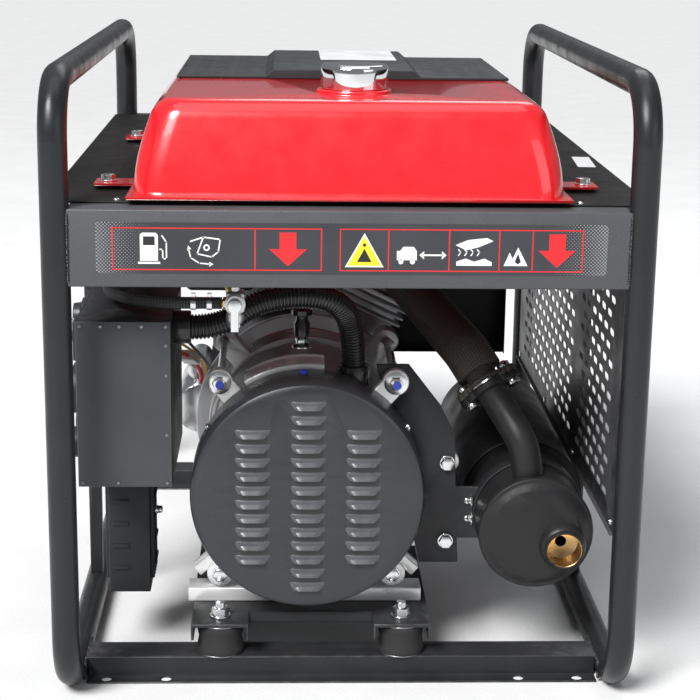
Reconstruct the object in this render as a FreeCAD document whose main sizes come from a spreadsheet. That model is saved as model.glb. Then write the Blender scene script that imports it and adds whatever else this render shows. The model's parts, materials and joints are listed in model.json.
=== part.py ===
import FreeCAD, Part
import math
import os
import re
import Sketcher

# Engine driven welder: an open tubular frame that carries a petrol engine, the alternator
# that it turns, a fuel tank, an exhaust and a control box.
# The frame of the model: X to the right, Y to the back, Z up, in millimetres. The origin is
# the middle of the base, and the alternator end faces -Y.

Vector = FreeCAD.Vector
doc = FreeCAD.newDocument("EngineDrivenWelder")

# ---------------------------------------------------------------- driving dimensions

SIZES = [
    # tubular frame
    ("frame_width", 590.0),
    ("frame_length", 818.0),
    ("head_room", 502.0),
    ("tube_od", 28.0),
    ("tube_wall", 2.0),
    ("hoop_bend", 55.0),
    # upper beams and tray
    ("handle_rise", 132.0),
    ("beam_height", 75.0),
    ("beam_depth", 40.0),
    ("beam_proud", 8.0),
    ("beam_wall", 2.0),
    ("tray_thick", 2.0),
    ("tray_skirt", 20.0),
    ("tray_gap", 12.0),
    ("tank_gap", 5.0),
    # lower rails and side pieces
    ("rail_inset", 57.0),
    ("rail_height", 22.0),
    ("rail_top", 40.0),
    ("rail_flange", 18.0),
    ("rail_wall", 2.0),
    ("floor_hole_radius", 5.5),
    ("outer_hole_inset", 34.0),
    ("inner_hole_inset", 96.0),
    ("post_width", 14.0),
    ("post_gap", 60.0),
    ("guard_thick", 1.2),
    ("guard_bottom", 170.0),
    ("guard_flange", 5.0),
    ("slot_length", 25.0),
    ("slot_width", 8.0),
    ("slot_pitch", 34.0),
    ("slot_row", 17.0),
    # cradle on rubber mounts
    ("mount_radius", 25.0),
    ("mount_height", 34.0),
    ("mount_left", -129.0),
    ("mount_right", 62.0),
    ("cradle_width", 60.0),
    ("cradle_thick", 4.0),
    ("cradle_side", 18.0),
    ("cradle_overhang", 24.0),
    ("tie_width", 40.0),
    ("stud_radius", 5.0),
    ("stud_play", 0.5),
    # engine and alternator axis
    ("axis_x", -38.0),
    ("axis_height", 138.0),
    # alternator
    ("cover_radius", 121.5),
    ("cover_depth", 60.0),
    ("cover_wall", 1.5),
    ("cover_fit", 0.3),
    ("cover_lap", 6.0),
    ("louvre_width", 34.0),
    ("louvre_opening", 5.0),
    ("louvre_pitch", 15.0),
    ("louvre_column", 57.0),
    ("bell_step", 9.5),
    ("bell_wall", 9.0),
    ("bell_front", -274.0),
    ("bell_depth", 38.0),
    ("ear_step", 29.0),
    ("ear_angle", 49.0),
    ("ear_boss", 14.0),
    ("tie_bolt_radius", 4.0),
    ("foot_front", -274.0),
    ("foot_depth", 30.0),
    ("foot_thick", 15.0),
    ("stator_step", 7.0),
    ("stator_bore", 68.0),
    ("stator_length", 144.0),
    ("air_gap", 1.0),
    ("bearing_radius", 26.0),
    ("bearing_bore", 12.5),
    ("bearing_width", 15.0),
    ("running_gap", 0.04),
    ("bracket_flange_radius", 128.0),
    ("fan_radius", 92.0),
    # engine
    ("crankcase_front", -40.0),
    ("crankcase_length", 190.0),
    ("crankcase_half_width", 90.0),
    ("crankcase_height", 225.0),
    ("cavity_radius", 70.0),
    ("crank_bearing_radius", 36.0),
    ("crank_journal_radius", 17.5),
    ("crank_throw", 30.0),
    ("cylinder_tilt", 25.0),
    ("cylinder_bore", 44.0),
    ("barrel_top", 176.0),
    ("head_top", 222.0),
    ("rocker_top", 246.0),
    ("barrel_width", 104.0),
    ("fin_width", 120.0),
    ("head_front", 5.0),
    ("head_length", 100.0),
    ("starter_radius", 30.0),
    ("starter_offset", 125.0),
    ("starter_length", 140.0),
    ("flywheel_radius", 100.0),
    ("flywheel_width", 46.0),
    ("shroud_radius", 122.0),
    ("shroud_wall", 2.0),
    ("shroud_length", 78.0),
    ("recoil_depth", 46.0),
    ("pulley_radius", 45.0),
    # exhaust
    ("shield_clear", 6.0),
    ("muffler_z", 158.0),
    ("muffler_radius", 58.0),
    ("muffler_front", -335.0),
    ("muffler_length", 440.0),
    ("muffler_wall", 1.6),
    ("outlet_radius", 20.0),
    ("outlet_proud", 16.0),
    ("shield_gap", 8.8),
    ("shield_wall", 1.2),
    ("shield_setback", 119.0),
    ("pipe_radius", 16.0),
    ("pipe_wall", 1.5),
    ("wrap_radius", 25.0),
    ("plate_thick", 4.0),
    # tank
    ("tank_half_width", 210.0),
    ("tank_side_draw", 21.0),
    ("tank_front_draw", 24.0),
    ("tank_back", 160.0),
    ("tank_rise", 92.0),
    ("tank_drop", 52.0),
    ("tank_wall", 1.5),
    ("tank_seat", 3.0),
    ("tank_corner", 32.0),
    ("tank_edge", 22.0),
    ("ear_reach", 44.0),
    ("ear_width", 36.0),
    ("filler_x", 6.0),
    ("filler_setback", 100.0),
    ("neck_radius", 24.0),
    ("cap_radius", 34.0),
    ("cap_height", 24.0),
    ("rear_cover_front", -133.0),
    ("rear_cover_back", 140.0),
    ("rear_cover_half_width", 180.0),
    ("hump_height", 10.0),
    # fuel tap and hose
    ("tap_x", -112.0),
    ("tap_y", -335.0),
    ("tap_radius", 11.0),
    ("hose_radius", 6.0),
    # control box
    ("box_width", 93.0),
    ("box_depth", 185.0),
    ("box_height", 172.0),
    ("box_top_drop", 122.0),
    ("box_front", -345.0),
    ("box_wall", 2.0),
    ("panel_thick", 1.5),
    ("conduit_radius", 13.0),
    ("gland_radius", 17.0),
    ("housing_height", 148.0),
]

# ---------------------------------------------------------------- places worked out from them

PLACES = [
    ("frame_height", "axis_height + head_room"),
    ("tube_radius", "tube_od / 2"),
    ("hoop_x", "frame_width / 2 - tube_radius"),
    ("upright_y", "frame_length / 2 - tube_radius"),
    ("hoop_top", "frame_height - tube_radius"),
    ("tray_bottom", "frame_height - handle_rise"),
    ("tray_top", "tray_bottom + tray_thick"),
    ("beam_front", "upright_y + beam_proud"),
    ("beam_back", "beam_front - beam_depth"),
    ("beam_half", "hoop_x - sqrt(tube_radius * tube_radius - beam_proud * beam_proud)"),
    ("tray_end", "upright_y - tube_radius - tray_gap"),
    ("rail_outer", "frame_length / 2 - rail_inset"),
    ("rail_inner", "rail_outer - 2 * rail_flange - rail_top"),
    ("rail_y", "(rail_outer + rail_inner) / 2"),
    ("rail_hole_y", "rail_outer - rail_flange / 2"),
    ("outer_hole_x", "hoop_x - outer_hole_inset"),
    ("inner_hole_x", "hoop_x - inner_hole_inset"),
    ("post_inner", "hoop_x - post_width / 2"),
    ("mount_top", "rail_height + mount_height"),
    ("cradle_top", "mount_top + cradle_thick"),
    ("cradle_end", "rail_y + cradle_overhang"),
    ("axis_z", "cradle_top + axis_height"),
    ("cover_front", "bell_front - cover_depth"),
    ("bell_radius", "cover_radius - bell_step"),
    ("stator_radius", "bell_radius - stator_step"),
    ("ear_radius", "bell_radius + ear_step"),
    ("web_front", "bell_front - cover_lap"),
    ("bell_back", "bell_front + bell_depth"),
    ("stator_back", "bell_back + stator_length"),
    ("rotor_radius", "stator_bore - air_gap"),
    ("ear_dx", "ear_radius * cos(ear_angle)"),
    ("ear_dz", "ear_radius * sin(ear_angle)"),
    ("crankcase_back", "crankcase_front + crankcase_length"),
    ("head_middle", "head_front + head_length / 2"),
    ("tilt_x", "sin(cylinder_tilt)"),
    ("tilt_z", "cos(cylinder_tilt)"),
    ("starter_x", "axis_x - starter_offset"),
    ("shroud_front", "crankcase_back + 8"),
    ("shroud_back", "shroud_front + shroud_length"),
    ("recoil_back", "shroud_back + recoil_depth"),
    ("flywheel_front", "shroud_front + 10"),
    ("flywheel_back", "flywheel_front + flywheel_width"),
    ("muffler_back", "muffler_front + muffler_length"),
    ("shield_radius", "muffler_radius + shield_gap"),
    ("muffler_x", "post_inner - guard_thick - shield_radius - shield_clear"),
    ("outlet_x", "muffler_x + muffler_radius * 0.47"),
    ("outlet_z", "muffler_z - muffler_radius * 0.2"),
    ("shield_front", "muffler_front + shield_setback"),
    ("seam_z", "tray_top + tank_seat + tank_wall"),
    ("tank_top", "seam_z + tank_rise"),
    ("tank_front", "-beam_front + 25"),
    ("tank_bottom", "seam_z - tank_drop"),
    ("pan_half_width", "tank_half_width - 8"),
    ("pan_front", "-beam_back + 4 + tank_gap"),
    ("pan_back", "tank_back - 8"),
    ("filler_y", "tank_front + filler_setback"),
    ("boss_top", "tank_top + 5"),
    ("ear_front_y", "tank_front + 101"),
    ("ear_back_y", "tank_back - 75"),
    ("ear_bolt_x", "tank_half_width + 31"),
    ("box_left", "-hoop_x + tube_radius - 2"),
    ("box_right", "box_left + box_width"),
    ("box_back", "box_front + box_depth"),
    ("box_top", "tray_bottom - box_top_drop"),
    ("box_bottom", "box_top - box_height"),
    ("box_middle", "(box_front + box_back) / 2"),
    ("post_y", "box_back + post_gap"),
    ("gland_y", "box_front + 45"),
    ("gland_z", "box_top - 16"),
    ("tap_z", "tray_bottom - 105"),
    ("intake_z", "axis_z + 190"),
]


def make_sheet(name, rows, formulas):
    """One spreadsheet with a name and an aliased value on each row."""
    sheet = doc.addObject("Spreadsheet::Sheet", name)
    for row, (alias, content) in enumerate(rows, 1):
        sheet.set(f"A{row}", alias)
        sheet.set(f"B{row}", formulas(content))
        sheet.setAlias(f"B{row}", alias)
    return sheet


SIZE_NAMES = {name for name, _ in SIZES}
PLACE_NAMES = {name for name, _ in PLACES}
WORD = re.compile(r"[a-z][a-z_0-9]*")


def size_words(text):
    """The text of an expression with its driving dimensions spelled as cells of Sizes."""
    return WORD.sub(lambda m: "Sizes." + m[0] if m[0] in SIZE_NAMES else m[0], text)


def bound(text):
    """The text of an expression with all its words spelled as cells of the two sheets."""
    return WORD.sub(lambda m: "Places." + m[0] if m[0] in PLACE_NAMES else m[0], size_words(text))


sizes = make_sheet("Sizes", SIZES, str)
places = make_sheet("Places", PLACES, lambda text: "=" + size_words(text))
doc.recompute()


def value(name):
    """The number in one cell, for the few shapes that are worked out in code."""
    return float(getattr(sizes if name in SIZE_NAMES else places, name))


# ---------------------------------------------------------------- building blocks

AIMS = {
    "X": (Vector(0, 1, 0), 90, 0, "+"),
    "-X": (Vector(0, 1, 0), -90, 0, "-"),
    "Y": (Vector(1, 0, 0), -90, 1, "+"),
    "-Y": (Vector(1, 0, 0), 90, 1, "-"),
    "Z": (Vector(0, 0, 1), 0, 2, "+"),
    "-Z": (Vector(1, 0, 0), 180, 2, "-"),
}


def bind(piece, **cells):
    """Bind properties of a piece to expressions."""
    for prop, text in cells.items():
        piece.setExpression(prop, bound(text))


def put(piece, spot, rotation=None):
    """Place a piece at a spot given as three expressions."""
    piece.Placement = FreeCAD.Placement(Vector(), rotation or FreeCAD.Rotation())
    for letter, text in zip("xyz", spot):
        piece.setExpression("Placement.Base." + letter, bound(text))
    return piece


def shifted(spot, aim, distance):
    """A spot moved along an aim by a distance, as expressions."""
    axis, sign = AIMS[aim][2:]
    moved = list(spot)
    moved[axis] = f"({moved[axis]}) {sign} ({distance})"
    return tuple(moved)


def aimed(aim):
    """The rotation that turns +Z into an aim."""
    return FreeCAD.Rotation(AIMS[aim][0], AIMS[aim][1])


def block(name, x0, x1, y0, y1, z0, z1):
    """A box between two corners."""
    piece = doc.addObject("Part::Box", name)
    bind(piece, Length=f"({x1}) - ({x0})", Width=f"({y1}) - ({y0})", Height=f"({z1}) - ({z0})")
    return put(piece, (x0, y0, z0))


def rod(name, radius, spot, length, aim="Z"):
    """A round bar that starts at a spot."""
    piece = doc.addObject("Part::Cylinder", name)
    bind(piece, Radius=radius, Height=length)
    return put(piece, spot, aimed(aim))


def bore(name, radius, spot, length, aim="Z"):
    """A round cutter that runs a millimetre past both ends."""
    return rod(name, radius, shifted(spot, aim, "-1"), f"({length}) + 2", aim)


def hexagon(name, radius, spot, length, aim="Z"):
    """A hexagonal bar, by the radius to its corners."""
    piece = doc.addObject("Part::Prism", name)
    piece.Polygon = 6
    bind(piece, Circumradius=radius, Height=length)
    return put(piece, spot, aimed(aim))


def fuse(name, *pieces):
    """Several pieces welded or cast as one."""
    piece = doc.addObject("Part::MultiFuse", name)
    piece.Shapes = list(pieces)
    piece.Refine = True
    return piece


def cut(name, base, *tools):
    """A piece with one or more tools taken out of it."""
    piece = doc.addObject("Part::Cut", name)
    piece.Base = base
    piece.Tool = tools[0] if len(tools) == 1 else fuse(name + "Cutters", *tools)
    piece.Refine = True
    return piece


def group(name, *pieces):
    """Identical or joined pieces that stay separate solids in one node."""
    piece = doc.addObject("Part::Compound", name)
    piece.Links = list(pieces)
    return piece


def tube(name, radius, inner, spot, length, aim="Z"):
    """A round tube."""
    return cut(name, rod(name + "Outer", radius, spot, length, aim),
               bore(name + "Bore", inner, spot, length, aim))


def rounded(name, base, radius, wanted):
    """A piece with the edges that pass a test rounded."""
    doc.recompute()
    piece = doc.addObject("Part::Fillet", name)
    piece.Base = base
    piece.Edges = [(number, radius, radius)
                   for number, edge in enumerate(base.Shape.Edges, 1) if wanted(edge)]
    return piece


def bolt(name, radius, spot, grip, aim):
    """A hex bolt: washer and head behind the spot, shank along the aim."""
    back = {"X": "-X", "-X": "X", "Y": "-Y", "-Y": "Y", "Z": "-Z", "-Z": "Z"}[aim]
    return fuse(name, rod(name + "Shank", radius, spot, grip, aim),
                rod(name + "Washer", f"{radius} * 2.1", spot, "1.6", back),
                hexagon(name + "Head", f"{radius} * 1.85", shifted(spot, back, "1.6"),
                        f"{radius} * 1.3", back))


def outline(body, role, points):
    """A closed sketch of straight lines on one origin plane of a body."""
    sketch = body.newObject("Sketcher::SketchObject", body.Name + "Outline")
    plane = next(item for item in body.Origin.OriginFeatures if item.Role == role)
    sketch.AttachmentSupport = [(plane, "")]
    sketch.MapMode = "FlatFace"
    count = len(points)
    start = [Vector(50 * math.cos(2 * math.pi * i / count), 50 * math.sin(2 * math.pi * i / count))
             for i in range(count)]
    for i in range(count):
        sketch.addGeometry(Part.LineSegment(start[i], start[(i + 1) % count]), False)
    for i in range(count):
        sketch.addConstraint(Sketcher.Constraint("Coincident", i, 2, (i + 1) % count, 1))
    for i, (across, along) in enumerate(points):
        for kind, text in (("DistanceX", across), ("DistanceY", along)):
            index = sketch.addConstraint(Sketcher.Constraint(kind, -1, 1, i, 1, 1.0))
            sketch.setExpression(f"Constraints[{index}]", bound(text))
    return sketch


def turned(name, points, spot, aim="Y"):
    """A PartDesign body turned about its axis from points of radius and distance along it."""
    body = doc.addObject("PartDesign::Body", name)
    sketch = outline(body, "XZ_Plane", points)
    turn = body.newObject("PartDesign::Revolution", name + "Turn")
    turn.Profile = sketch
    turn.ReferenceAxis = (sketch, ["V_Axis"])
    turn.Angle = 360
    return put(body, spot, aimed(aim))


def padded(name, role, points, length, spot):
    """A PartDesign body padded from an outline, along +X (YZ_Plane) or -Y (XZ_Plane)."""
    body = doc.addObject("PartDesign::Body", name)
    sketch = outline(body, role, points)
    pad = body.newObject("PartDesign::Pad", name + "Pad")
    pad.Profile = sketch
    bind(pad, Length=length)
    return put(body, spot)


def spoke(name, inner, outer, width, y0, y1, angle):
    """A radial bar about the engine axis, at an angle from +X towards +Z."""
    piece = doc.addObject("Part::Box", name)
    bind(piece, Length=f"({outer}) - ({inner})", Width=f"({y1}) - ({y0})", Height=width)
    turn = FreeCAD.Rotation(Vector(0, 1, 0), 0)
    put(piece, (f"axis_x + ({inner}) * cos({angle}) + ({width}) / 2 * sin({angle})", y0,
                f"axis_z + ({inner}) * sin({angle}) - ({width}) / 2 * cos({angle})"), turn)
    piece.setExpression("Placement.Rotation.Axis.x", "0")
    piece.setExpression("Placement.Rotation.Axis.y", "1")
    piece.setExpression("Placement.Rotation.Axis.z", "0")
    piece.setExpression("Placement.Rotation.Angle", bound(f"-({angle})"))
    return piece


def leaning(name, width, y0, y1, low, high):
    """A box square to the leaning cylinder axis, between two distances from the crank axis."""
    piece = doc.addObject("Part::Box", name)
    bind(piece, Length=width, Width=f"({y1}) - ({y0})", Height=f"({high}) - ({low})")
    put(piece, (f"axis_x - ({width}) / 2 * tilt_z + ({low}) * tilt_x", y0,
                f"axis_z + ({width}) / 2 * tilt_x + ({low}) * tilt_z"))
    piece.setExpression("Placement.Rotation.Axis.x", "0")
    piece.setExpression("Placement.Rotation.Axis.y", "1")
    piece.setExpression("Placement.Rotation.Axis.z", "0")
    piece.setExpression("Placement.Rotation.Angle", bound("cylinder_tilt"))
    return piece


def wedge(name, low, high, z0, z1):
    """A block that narrows upwards: each end is x half width, front y and back y."""
    piece = doc.addObject("Part::Wedge", name)
    bind(piece, Xmin=f"-({low[0]})", Xmax=low[0], X2min=f"-({high[0]})", X2max=high[0],
         Ymin="0", Ymax=f"({z1}) - ({z0})", Zmin=f"-({low[2]})", Zmax=f"-({low[1]})",
         Z2min=f"-({high[2]})", Z2max=f"-({high[1]})")
    return put(piece, ("0", "0", z0), FreeCAD.Rotation(Vector(1, 0, 0), 90))


def feature(name, shape):
    """A shape worked out in code."""
    piece = doc.addObject("Part::Feature", name)
    piece.Shape = shape
    return piece


nodes = []


def node(name, piece):
    """Keep a finished piece under the name of its node."""
    piece.Label = name
    nodes.append(piece)
    return piece


# ---------------------------------------------------------------- tubular frame

def hoop_loop(name, radius, x):
    """A closed loop of round section: four runs and four quarter bends."""
    pieces = []
    straight_y = "upright_y - hoop_bend"
    for number, side in enumerate(("", "-")):
        pieces.append(rod(f"{name}Upright{number}", radius,
                          (x, f"{side}upright_y", "tube_radius + hoop_bend"),
                          "hoop_top - tube_radius - 2 * hoop_bend"))
    for number, height in enumerate(("tube_radius", "hoop_top")):
        pieces.append(rod(f"{name}Run{number}", radius, (x, f"-({straight_y})", height),
                          f"2 * ({straight_y})", "Y"))
    corners = [(straight_y, "tube_radius + hoop_bend"), (straight_y, "hoop_top - hoop_bend"),
               (f"-({straight_y})", "hoop_top - hoop_bend"),
               (f"-({straight_y})", "tube_radius + hoop_bend")]
    for number, (y, z) in enumerate(corners):
        bend = doc.addObject("Part::Torus", f"{name}Bend{number}")
        bend.Angle3 = 90
        bind(bend, Radius1="hoop_bend", Radius2=radius)
        turn = FreeCAD.Rotation(Vector(1, 0, 0), 90 * number).multiply(aimed("X"))
        pieces.append(put(bend, (x, y, z), turn))
    return fuse(name, *pieces)


for side, x in (("left", "-hoop_x"), ("right", "hoop_x")):
    node(f"{side}_hoop", cut(f"{side.title()}Hoop",
                             hoop_loop(f"{side.title()}Outer", "tube_radius", x),
                             hoop_loop(f"{side.title()}Inner", "tube_radius - tube_wall", x)))


def upright_cutters(name, y):
    """Two cutters on the uprights, to cope what is welded between them."""
    return [rod(f"{name}{number}", "tube_radius", (x, y, "0"), "frame_height")
            for number, x in enumerate(("-hoop_x", "hoop_x"))]


def upper_beam(name, outer, inner, y):
    """A folded channel that is open towards the middle of the frame."""
    low, high = "tray_bottom - beam_height", "tray_bottom"
    shell = block(name + "Shell", "-beam_half", "beam_half", *sorted_span(outer, inner), low, high)
    wall = "beam_wall"
    if outer.startswith("-"):
        hollow_y = (f"{outer} + {wall}", f"{inner} + 1")
    else:
        hollow_y = (f"{inner} - 1", f"{outer} - {wall}")
    hollow = block(name + "Hollow", "-beam_half - 1", "beam_half + 1", *hollow_y,
                   f"{low} + {wall}", f"{high} - {wall}")
    return cut(name, shell, hollow, *upright_cutters(name + "Cope", y))


def sorted_span(outer, inner):
    """Lower and higher end of a span that starts at the outer end of the frame."""
    return (outer, inner) if outer.startswith("-") else (inner, outer)


node("upper_beams", group("UpperBeams",
                          upper_beam("FrontBeam", "-beam_front", "-beam_back", "-upright_y"),
                          upper_beam("RearBeam", "beam_front", "beam_back", "upright_y")))


def lower_rail(name, side):
    """A hat section rail between the bottom runs, with holes for floor bolts and mounts."""
    top, wall = "rail_height", "rail_wall"
    crown_out = "rail_outer - rail_flange"
    crown_in = "rail_inner + rail_flange"
    profile = [("rail_outer", "0"), ("rail_outer", wall), (f"{crown_out}", wall),
               (f"{crown_out}", top), (f"{crown_in}", top), (f"{crown_in}", wall),
               ("rail_inner", wall), ("rail_inner", "0"), (f"{crown_in} + {wall}", "0"),
               (f"{crown_in} + {wall}", f"{top} - {wall}"),
               (f"{crown_out} - {wall}", f"{top} - {wall}"), (f"{crown_out} - {wall}", "0")]
    if side == "-":
        profile = [(f"-({across})", along) for across, along in profile]
    hat = padded(name + "Hat", "YZ_Plane", profile, "2 * (hoop_x - tube_radius / 5)",
                 ("-(hoop_x - tube_radius / 5)", "0", "0"))
    tools = []
    for number, way in enumerate(("-", "")):
        ends = sorted([f"{way}hoop_x", f"{way}(hoop_x - tube_radius)"], key=len)
        span = ends if way == "-" else ends[::-1]
        tools.append(rod(f"{name}Tube{number}", "tube_radius",
                         (f"{way}hoop_x", "-upright_y", "tube_radius"), "2 * upright_y", "Y"))
        tools.append(block(f"{name}Under{number}", span[0], span[1], "-upright_y", "upright_y",
                           "-1", "tube_radius"))
        for kind in ("outer_hole_x", "inner_hole_x"):
            tools.append(bore(f"{name}Floor{kind[:5]}{number}", "floor_hole_radius",
                              (f"{way}{kind}", f"{side}rail_hole_y", "0"), wall))
    for number, x in enumerate(("mount_left", "mount_right")):
        tools.append(bore(f"{name}Mount{number}", "stud_radius + stud_play",
                          (x, f"{side}rail_y", f"{top} - {wall}"), wall))
    return cut(name, hat, *tools)


node("lower_rails", group("LowerRails", lower_rail("FrontRail", "-"), lower_rail("RearRail", "")))


def side_post(name, way):
    """An upright bar that stands on a bottom run and holds up the tray."""
    x0, x1 = ("-hoop_x - post_width / 2", "-post_inner")
    if way == "":
        x0, x1 = ("post_inner", "hoop_x + post_width / 2")
    bar = block(name + "Bar", x0, x1, "post_y - post_width / 2", "post_y + post_width / 2",
                "tube_radius", "tray_bottom")
    return cut(name, bar, rod(name + "Seat", "tube_radius",
                              (f"{way}hoop_x", "-upright_y", "tube_radius"), "2 * upright_y", "Y"))


node("side_posts", group("SidePosts", side_post("LeftPost", "-"), side_post("RightPost", "")))


def guard_panel():
    """A sheet with rows of staggered obround slots and a folded foot."""
    face_x, thick = value("post_inner"), value("guard_thick")
    low, high, end = value("guard_bottom"), value("tray_bottom"), value("tray_end")
    sheet = Part.makeBox(thick, 2 * end, high - low, Vector(face_x - thick, -end, low))
    foot = Part.makeBox(value("guard_flange"), 2 * end, thick,
                        Vector(face_x - value("guard_flange"), -end, low))
    half, radius = value("slot_length") / 2, value("slot_width") / 2
    run = half - radius
    rows = int((high - low - 50) / value("slot_row"))
    count = int((2 * end - 60) / value("slot_pitch"))
    slots = []
    for row in range(rows):
        z = low + 28 + row * value("slot_row")
        stagger = value("slot_pitch") / 2 * (row % 2)
        for number in range(count - row % 2):
            y = (number - (count - 1) / 2) * value("slot_pitch") + stagger
            if abs(y - value("post_y")) < half + value("post_width") / 2:
                continue
            ends = [Vector(0, y - run, z - radius), Vector(0, y + run, z - radius),
                    Vector(0, y + half, z), Vector(0, y + run, z + radius),
                    Vector(0, y - run, z + radius), Vector(0, y - half, z)]
            edges = [Part.LineSegment(ends[0], ends[1]).toShape(),
                     Part.Arc(ends[1], ends[2], ends[3]).toShape(),
                     Part.LineSegment(ends[3], ends[4]).toShape(),
                     Part.Arc(ends[4], ends[5], ends[0]).toShape()]
            slots.append(Part.Wire(edges))
    frame = Part.makePolygon([Vector(0, -end, low), Vector(0, end, low), Vector(0, end, high),
                              Vector(0, -end, high), Vector(0, -end, low)])
    outer_face = Part.makeFace([frame] + slots, "Part::FaceMakerBullseye")
    sheet = outer_face.extrude(Vector(thick, 0, 0))
    sheet.translate(Vector(face_x - thick, 0, 0))
    return feature("GuardPanel", sheet.fuse(foot).removeSplitter())


node("guard_panel", guard_panel())


def top_tray():
    """The flat tray under the tank, with folded side skirts and an opening for the tank."""
    side = "hoop_x + tube_radius"
    plate = block("TrayPlate", f"-({side})", side, "-tray_end", "tray_end",
                  "tray_bottom", "tray_top")
    skirts = [block(f"TraySkirt{number}", *span, "-tray_end", "tray_end",
                    "tray_bottom - tray_skirt", "tray_top")
              for number, span in enumerate(((f"-({side})", f"-({side}) + tray_thick"),
                                             (f"{side} - tray_thick", side)))]
    opening = block("TrayOpening", "-pan_half_width - tank_gap", "pan_half_width + tank_gap",
                    "pan_front - tank_gap", "pan_back + tank_gap",
                    "tray_bottom - 1", "tray_top + 1")
    holes = [bore(f"TrayHole{number}", "tie_bolt_radius + stud_play", (x, y, "tray_bottom"),
                  "tray_thick") for number, (x, y) in enumerate(EAR_SPOTS)]
    return cut("TopTray", fuse("TrayFolded", plate, *skirts), opening, *holes)


EAR_SPOTS = [(f"{way}ear_bolt_x", y) for way in ("-", "") for y in ("ear_front_y", "ear_back_y")]
node("top_tray", top_tray())

# ---------------------------------------------------------------- fuel tank


def upright_edge(edge):
    """True for the leaning corner edges of a tapered shell."""
    low, high = edge.Vertexes[0].Point, edge.Vertexes[-1].Point
    return abs(low.z - high.z) > value("tank_drop") / 2


def rim_edge(height):
    """A test for the edges that lie at one height."""
    return lambda edge: all(abs(vertex.Z - height) < 0.5 for vertex in edge.Vertexes)


def pressed_shell(name, low, high, z0, z1, corner, edge, rim):
    """A pressed shell: a tapered block with rounded corners and one rounded rim."""
    body = rounded(name + "Corners", wedge(name + "Block", low, high, z0, z1), corner, upright_edge)
    return rounded(name, body, edge, rim_edge(rim))


def shell_pair(name, low, high, z0, z1, rim, wall_down):
    """The outer and inner form of a pressed shell, a wall apart."""
    wall = "tank_wall"
    outer = pressed_shell(name + "Outer", low, high, z0, z1, value("tank_corner"),
                          value("tank_edge"), rim)
    slim = [(f"{end[0]} - {wall}", f"{end[1]} + {wall}", f"{end[2]} - {wall}")
            for end in (low, high)]
    z_in = (z0, f"{z1} - {wall}") if wall_down else (f"{z0} + {wall}", z1)
    rim_in = rim - value(wall) if wall_down else rim + value(wall)
    inner = pressed_shell(name + "Inner", *slim, *z_in, value("tank_corner") - value(wall),
                          value("tank_edge") - value(wall), rim_in)
    return outer, inner


def tank_ears(name, z0, z1):
    """Four tabs on the seam flange, with bolt holes."""
    pieces = []
    for number, (x, y) in enumerate(EAR_SPOTS):
        inner = x.replace("ear_bolt_x", "(tank_half_width - 1)")
        outer = x.replace("ear_bolt_x", "(tank_half_width + ear_reach)")
        span = (outer, inner) if x.startswith("-") else (inner, outer)
        pieces.append(block(f"{name}Ear{number}", *span, f"{y} - ear_width / 2",
                            f"{y} + ear_width / 2", z0, z1))
    return pieces


def ear_bores(name, z0, length):
    """Cutters for the four ear bolts."""
    return [bore(f"{name}Bore{number}", "tie_bolt_radius + stud_play", (x, y, z0), length)
            for number, (x, y) in enumerate(EAR_SPOTS)]


tank_low = ("tank_half_width", "tank_front", "tank_back")
tank_high = ("tank_half_width - tank_side_draw", "tank_front + tank_front_draw",
             "tank_back - tank_side_draw")
flange_top = "seam_z + tank_wall"
outer, inner = shell_pair("UpperShell", tank_low, tank_high, "seam_z", "tank_top",
                          value("tank_top"), True)
upper_flange = block("UpperFlange", "-tank_half_width - 5", "tank_half_width + 5",
                     "tank_front - 4", "tank_back + 5", "seam_z", flange_top)
boss = rod("FillerBoss", "neck_radius + 14", ("filler_x", "filler_y", "tank_top - 4"), "9")
upper_outside = fuse("UpperOutside", outer, upper_flange, boss,
                     *tank_ears("Upper", "seam_z", flange_top))
neck_hole = bore("NeckHole", "neck_radius", ("filler_x", "filler_y", "tank_top - 6"), "12")
node("tank_upper_shell", cut("TankUpperShell", upper_outside, inner, neck_hole,
                             *ear_bores("Upper", "seam_z", "tank_wall")))

pan_low = ("pan_half_width - 20", "pan_front + 20", "pan_back - 20")
pan_high = ("pan_half_width", "pan_front", "pan_back")
outer, inner = shell_pair("LowerShell", pan_low, pan_high, "tank_bottom", "seam_z",
                          value("tank_bottom"), False)
lower_flange = block("LowerFlange", "-tank_half_width - 5", "tank_half_width + 5",
                     "tank_front - 4", "tank_back + 5", "seam_z - tank_wall", "seam_z")
tap_hole = bore("TapHole", "tie_bolt_radius + 2", ("tap_x", "tap_y", "tank_bottom"), "tank_drop / 2")
node("tank_lower_shell", cut("TankLowerShell",
                             fuse("LowerOutside", outer, lower_flange,
                                  *tank_ears("Lower", "seam_z - tank_wall", "seam_z")),
                             inner, tap_hole,
                             *ear_bores("Lower", "seam_z - tank_wall", "tank_wall")))

tank_bolts = []
for number, (x, y) in enumerate(EAR_SPOTS):
    tank_bolts.append(bolt(f"TankBolt{number}", "tie_bolt_radius", (x, y, flange_top),
                           "tank_wall * 2 + tank_seat + tray_thick + 8", "-Z"))
node("tank_bolts", group("TankBolts", *tank_bolts))
tank_bushes = []
for number, (x, y) in enumerate(EAR_SPOTS):
    tank_bushes.append(tube(f"TankBush{number}", "tie_bolt_radius * 3", "tie_bolt_radius + 0.1",
                            (x, y, "tray_top"), "tank_seat"))
node("tank_bushes", group("TankBushes", *tank_bushes))


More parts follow.
